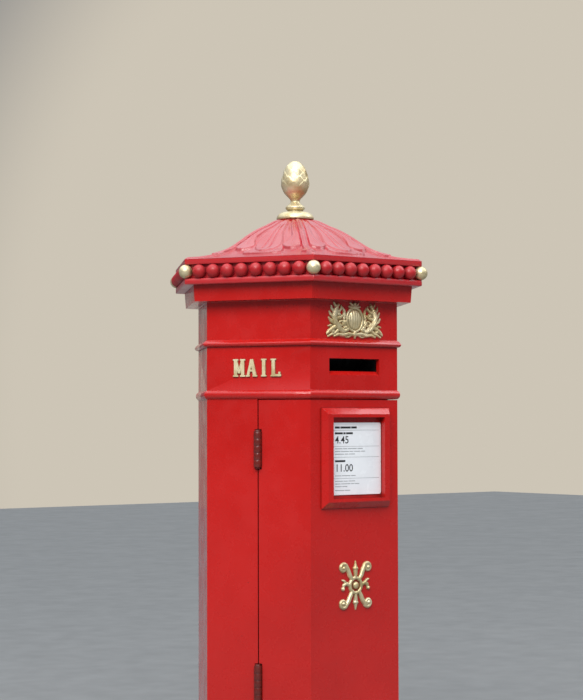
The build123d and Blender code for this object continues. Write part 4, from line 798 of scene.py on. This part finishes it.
def arc(cx, cy, rx, ry, start, end, thick, steps):
    """Points of a stroke of even thickness along an ellipse."""
    points = []
    for k in range(steps + 1):
        share = k / steps
        angle = radians(start + (end - start) * share)
        points.append((cx + rx * cos(angle), cy + ry * sin(angle), thick))
    return points


def mirrored(strokes):
    """The strokes and their mirror images."""
    return strokes + [[(-x, y, r) for x, y, r in stroke] for stroke in strokes]


def crest():
    """A generic crest: fluted oval cartouche, fleuron above, leaf scrolls either side, ribbon below."""
    low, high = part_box("crest_badge")
    z = (low[2] + high[2]) / 2
    width = (high[0] - low[0]) / MM
    height = (high[2] - low[2]) / MM
    side = [
        [
            (38, -30, 6.5), (54, -20, 8.5), (66, -6, 9.0), (69, 10, 8.6),
            (64, 25, 7.4), (58, 36, 5.4), (55, 43, 3.2),
        ],
        [(70, -8, 5.5), (80, -2, 4.4), (86, 6, 2.4)],
        [(71, 6, 5.2), (80, 14, 4.0), (84, 22, 2.2)],
        [(68, 20, 4.8), (76, 29, 3.6), (78, 37, 2.0)],
        [(60, 34, 4.0), (67, 41, 3.0), (69, 46, 1.8)],
        [(62, 20, 5.4), (51, 24, 4.4), (44, 31, 3.2), (45, 38, 1.8)],
        [(60, 4, 5.6), (48, 6, 4.6), (39, 13, 3.2)],
        [(36, 2, 4.0), (33, 14, 4.4), (35, 25, 3.6), (40, 33, 2.0)],
        [(60, -16, 7.0), (74, -22, 6.6), (85, -29, 5.4), (93, -37, 3.2)],
        [(70, -20, 4.4), (80, -14, 3.4), (88, -16, 2.0)],
        [(56, -26, 5.6), (66, -34, 5.0), (78, -38, 4.0), (88, -43, 2.6)],
        [(6, -37, 5.0), (22, -35, 5.4), (38, -39, 5.4), (54, -37, 4.8), (68, -42, 3.6)],
        [(24, -24, 5.6), (34, -28, 5.4), (44, -24, 4.4)],
        spiral(44, -10, -60, 1.1, 10, 3, 4.4, 2.6),
        [(14, -40, 3.2), (22, -44, 2.6), (31, -44, 1.8)],
    ]
    strokes = mirrored(side)
    strokes += [
        arc(0, 2, 26.5, 31, 0, 360, 3.8, 48),
        [(-17, 36, 3.4), (0, 34.5, 4.2), (17, 36, 3.4)],
        [(0, 36, 4.0), (0, 43, 3.8), (0, 46, 2.2)],
        [(2, 36, 3.6), (10, 42, 3.6), (14, 46, 2.0)],
        [(-2, 36, 3.6), (-10, 42, 3.6), (-14, 46, 2.0)],
        [(0, -32, 6.4), (0, -40, 5.0), (0, -46, 2.8)],
    ]
    domes = [(0, 2, 22, 27, 8.0), (0, -37, 10, 6, 7.0), (0, 44, 4.4, 4.0, 7.0)]
    leaf_bosses = (
        (35, -8, 8, 10, 6.0), (31, -19, 7, 6, 6.0), (74, -30, 7, 6, 6.5),
        (56, 39, 5.0, 5.0, 7.0), (52, 14, 7, 6, 5.0),
    )
    for sign in (-1, 1):
        domes += [(sign * x, y, w, h, rise) for x, y, w, h, rise in leaf_bosses]

    def flutes(x, y, level):
        inside = ((x / 21) ** 2 + ((y - 2) / 26) ** 2) < 1
        groove = 1.3 * (0.5 + 0.5 * np.cos(x / 21 * 5.5 * pi))
        veined = 1.2 * (0.5 + 0.5 * np.cos(np.abs(x) * 1.15 - y * 0.85 + 1.5 * np.sin(y * 0.21)))
        leafy = np.where((np.abs(x) > 30) & (level > 2.2), level - veined, level)
        return np.where(inside, level - groove, leafy)

    return relief_piece("crest_relief", SLOT_FACE, z, width, height, 9.0, strokes, domes, 0.6, flutes)


def knot():
    """A generic interlaced knot of open scrolls with ball ends."""
    low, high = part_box("scroll_badge")
    z = (low[2] + high[2]) / 2
    width = (high[0] - low[0]) / MM
    height = (high[2] - low[2]) / MM
    quarter = [
        [(11, 15, 5.4), (19, 26, 6.2), (24, 38, 6.4), (30, 50, 5.6)],
        spiral(40, 46, 150, -1.15, 11.5, 4.5, 5.0, 3.4),
        [(11, -15, 5.4), (18, -28, 6.2), (24, -40, 6.2), (32, -51, 5.4)],
        spiral(41, -46, 215, 1.15, 11.5, 4.5, 5.0, 3.4),
        [(18, 0, 4.6), (30, 6, 4.8), (39, 2, 4.2), (41, -6, 3.4)],
        [(30, 5, 4.0), (38, 13, 3.0), (44, 15, 1.8)],
    ]
    strokes = mirrored(quarter)
    strokes += [
        arc(0, 0, 18.5, 19.5, 0, 360, 4.8, 44),
        [(0, 19, 4.4), (0, 32, 5.4), (0, 44, 6.2), (0, 56, 3.0), (0, 62, 1.8)],
        [(0, -19, 4.4), (0, -32, 5.4), (0, -44, 6.2), (0, -56, 3.0), (0, -62, 1.8)],
    ]
    domes = [(0, 0, 10, 10, 8.0), (0, 44, 8.5, 6, 7.5), (0, -44, 8.5, 6, 7.5)]
    ball_ends = ((41, 46, 5.6, 5.6, 8.0), (42, -46, 5.6, 5.6, 8.0), (42, -8, 5.0, 5.0, 6.5))
    for sign in (-1, 1):
        domes += [(sign * x, y, w, h, rise) for x, y, w, h, rise in ball_ends]
    return relief_piece("scroll_relief", SLOT_FACE, z, width, height, 9.0, strokes, domes, 0.75)


# ---------------------------------------------------------------- print on the collection plate
def figures(name, text, x, y, size):
    """Plain figures set on the plate, as a thin raised mesh."""
    low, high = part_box("notice_plate")
    curve = bpy.data.curves.new(name + "_outline", "FONT")
    curve.body = text
    curve.size = size * MM
    curve.extrude = 0.1 * MM
    curve.offset = 0.12 * MM
    source = bpy.data.objects.new(name + "_outline", curve)
    bpy.context.scene.collection.objects.link(source)
    bpy.context.view_layer.update()
    mesh = bpy.data.meshes.new_from_object(source.evaluated_get(bpy.context.evaluated_depsgraph_get()))
    bpy.data.objects.remove(source)
    place = face_matrix(SLOT_FACE, x * MM, -low[1] + 0.03 * MM, (low[2] + high[2]) / 2 + y * MM)
    mesh.transform(place)
    mesh.materials.clear()
    mesh.materials.append(INK)
    piece = bpy.data.objects.new(name, mesh)
    bpy.context.scene.collection.objects.link(piece)
    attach(piece, "door")
    return piece


def printed(name, bars, material):
    """Ink on the plate: thin raised rectangles just proud of the enamel."""
    low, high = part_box("notice_plate")
    middle = (low[2] + high[2]) / 2
    place = face_matrix(SLOT_FACE, 0, -low[1] + 0.02 * MM, middle)
    verts = []
    faces = []
    for x, y, w, h in bars:
        start = len(verts)
        for lift in (-0.1, 0.12):
            for cx, cy in ((-1, -1), (1, -1), (1, 1), (-1, 1)):
                verts.append(place @ Vector(((x + cx * w / 2) * MM, (y + cy * h / 2) * MM, lift * MM)))
        for a, b in ((0, 1), (1, 2), (2, 3), (3, 0)):
            faces.append((start + a, start + b, start + b + 4, start + a + 4))
        faces.append(tuple(start + k for k in (4, 5, 6, 7)))
        faces.append(tuple(start + k for k in (3, 2, 1, 0)))
    piece = new_object(name, verts, faces, material, smooth=False)
    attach(piece, "door")
    return piece


def bar_line(x, y, widths, height):
    """A row of short plain bars standing for a line of print."""
    bars = []
    for w in widths:
        bars.append((x + w / 2, y, w, height))
        x += w + 2.2
    return bars


def notice_print():
    """Two collection times, with bars for the words round them; all sizes in mm from the plate's middle."""
    left = -70
    figures("notice_first_time", "4.45", left, 40, 27)
    figures("notice_second_time", "11.00", left, -33, 27)
    black = bar_line(left, 81, (16, 34, 18), 5.2)
    black += bar_line(left, 66, (26, 7, 22), 5.0)
    black += bar_line(left, -6, (34,), 5.0)
    printed("notice_headings", black, INK)
    grey = []
    rows = (
        (26, (24, 14, 30, 18)), (19, (18, 26, 12, 22, 14)), (12, (30, 12, 20)), (-44, (20, 28, 16)),
        (-58, (26, 14, 22)), (-65, (18, 30, 10, 16)), (-72, (22, 16)), (-82, (30, 18)),
    )
    for y, widths in rows:
        grey += bar_line(left, y, widths, 1.6)
    grey += [(0, y, 156, 0.8) for y in (74, 32, 4, -51)]
    printed("notice_lines", grey, GREY_INK)


# ---------------------------------------------------------------- stage, light and camera
BACKDROP_WAY = (0.74, 0.67, 0.0)
WORLD_STRENGTH = 2.6
CAMERA_AZIMUTH = -37.34
CAMERA_DISTANCE = 5.057
CAMERA_HEIGHT = 0.9749
CAMERA_PITCH = 2.109
CAMERA_YAW = 0.1256
CAMERA_ROLL = -0.1335
LENS = 95.45
SENSOR = 36


def stage():
    """The plain floor."""
    r = FLOOR_REACH
    corners = [(-r, -r, 0), (r, -r, 0), (r, r, 0), (-r, r, 0)]
    floor = new_object("floor", corners, [(0, 1, 2, 3)], FLOOR, smooth=False)


def studio_world():
    """Soft light from above, dim near the horizon but for a pale backdrop on one side."""
    world = bpy.data.worlds.new("studio")
    bpy.context.scene.world = world
    world.use_nodes = True
    tree = world.node_tree
    tree.nodes.clear()
    out = tree.nodes.new("ShaderNodeOutputWorld")
    light = tree.nodes.new("ShaderNodeBackground")
    place = tree.nodes.new("ShaderNodeTexCoord")
    split = tree.nodes.new("ShaderNodeSeparateXYZ")
    ramp = tree.nodes.new("ShaderNodeValToRGB")
    ramp.color_ramp.elements[0].position = 0.0
    ramp.color_ramp.elements[0].color = (0.040, 0.043, 0.050, 1)
    ramp.color_ramp.elements[1].position = 1.0
    ramp.color_ramp.elements[1].color = (0.90, 0.96, 1.0, 1)
    ramp.color_ramp.elements.new(0.30).color = (0.07, 0.075, 0.085, 1)
    ramp.color_ramp.elements.new(0.62).color = (0.36, 0.39, 0.43, 1)
    tree.links.new(place.outputs["Generated"], split.inputs[0])
    tree.links.new(split.outputs[2], ramp.inputs[0])
    toward = tree.nodes.new("ShaderNodeVectorMath")
    toward.operation = "DOT_PRODUCT"
    toward.inputs[1].default_value = BACKDROP_WAY
    tree.links.new(place.outputs["Generated"], toward.inputs[0])
    behind = tree.nodes.new("ShaderNodeMapRange")
    behind.interpolation_type = "SMOOTHSTEP"
    behind.inputs["From Min"].default_value = 0.895
    behind.inputs["From Max"].default_value = 0.945
    tree.links.new(toward.outputs["Value"], behind.inputs["Value"])
    blend = tree.nodes.new("ShaderNodeMix")
    blend.data_type = "RGBA"
    blend.blend_type = "LIGHTEN"
    blend.inputs[7].default_value = (0.235, 0.215, 0.18, 1)
    tree.links.new(behind.outputs[0], blend.inputs[0])
    tree.links.new(ramp.outputs[0], blend.inputs[6])
    tree.links.new(blend.outputs[2], light.inputs[0])
    light.inputs[1].default_value = WORLD_STRENGTH
    tree.links.new(light.outputs[0], out.inputs[0])


def softbox(name, place, aim, size, power, colour):
    """A rectangular lamp pointed at a place."""
    data = bpy.data.lights.new(name, "AREA")
    data.shape = "RECTANGLE"
    data.size, data.size_y = size
    data.energy = power
    data.color = colour
    lamp = bpy.data.objects.new(name, data)
    lamp.location = place
    lamp.rotation_euler = (Vector(aim) - Vector(place)).to_track_quat("-Z", "Y").to_euler()
    bpy.context.scene.collection.objects.link(lamp)


def lights():
    """A broad key from the left front and a weak lamp from the right."""
    softbox("key", (-3.2, -3.0, 4.2), (0, 0, 0.8), (3.8, 3.0), 225, (1.0, 0.98, 0.95))
    softbox("side", (3.6, -1.6, 4.2), (0, 0, 0.9), (2.4, 2.4), 40, (0.95, 0.97, 1.0))


def camera():
    """The camera, turned and tilted as the object is seen."""
    data = bpy.data.cameras.new("camera")
    data.sensor_fit = "VERTICAL"
    data.sensor_height = SENSOR
    data.sensor_width = SENSOR
    data.lens = LENS
    turn = radians(CAMERA_AZIMUTH)
    aim = radians(CAMERA_AZIMUTH + CAMERA_YAW)
    pitch = radians(CAMERA_PITCH)
    roll = radians(CAMERA_ROLL)
    forward = Vector((-sin(aim) * cos(pitch), cos(aim) * cos(pitch), sin(pitch)))
    level = forward.cross(Vector((0, 0, 1))).normalized()
    up = level.cross(forward)
    right = level * cos(roll) + up * sin(roll)
    top = up * cos(roll) - level * sin(roll)
    obj = bpy.data.objects.new("camera", data)
    place = Vector((sin(turn) * CAMERA_DISTANCE, -cos(turn) * CAMERA_DISTANCE, CAMERA_HEIGHT))
    axes = Matrix((right, top, -forward)).transposed().to_4x4()
    obj.matrix_world = Matrix.Translation(place) @ axes
    bpy.context.scene.collection.objects.link(obj)
    bpy.context.scene.camera = obj


# ---------------------------------------------------------------- the scene
camera()
stage()
studio_world()
lights()
dress_frame()

roof = roof_piece()
crown = crown_pad()
for piece in (roof, crown):
    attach(piece, "box")
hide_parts("roof_cap")

bead_row = beads()
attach(bead_row, "box")
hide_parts("rim_beads")

gilded_balls = corner_balls()
bud = finial()
crest_relief = crest()
for piece, node in ((gilded_balls, "corner_balls"), (bud, "finial_bud"), (crest_relief, "crest_badge")):
    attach(piece, "box")
    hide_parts(node)

scroll_relief = knot()
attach(scroll_relief, "door")
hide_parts("scroll_badge")

notice_print()

bpy.context.scene.view_settings.view_transform = "Standard"
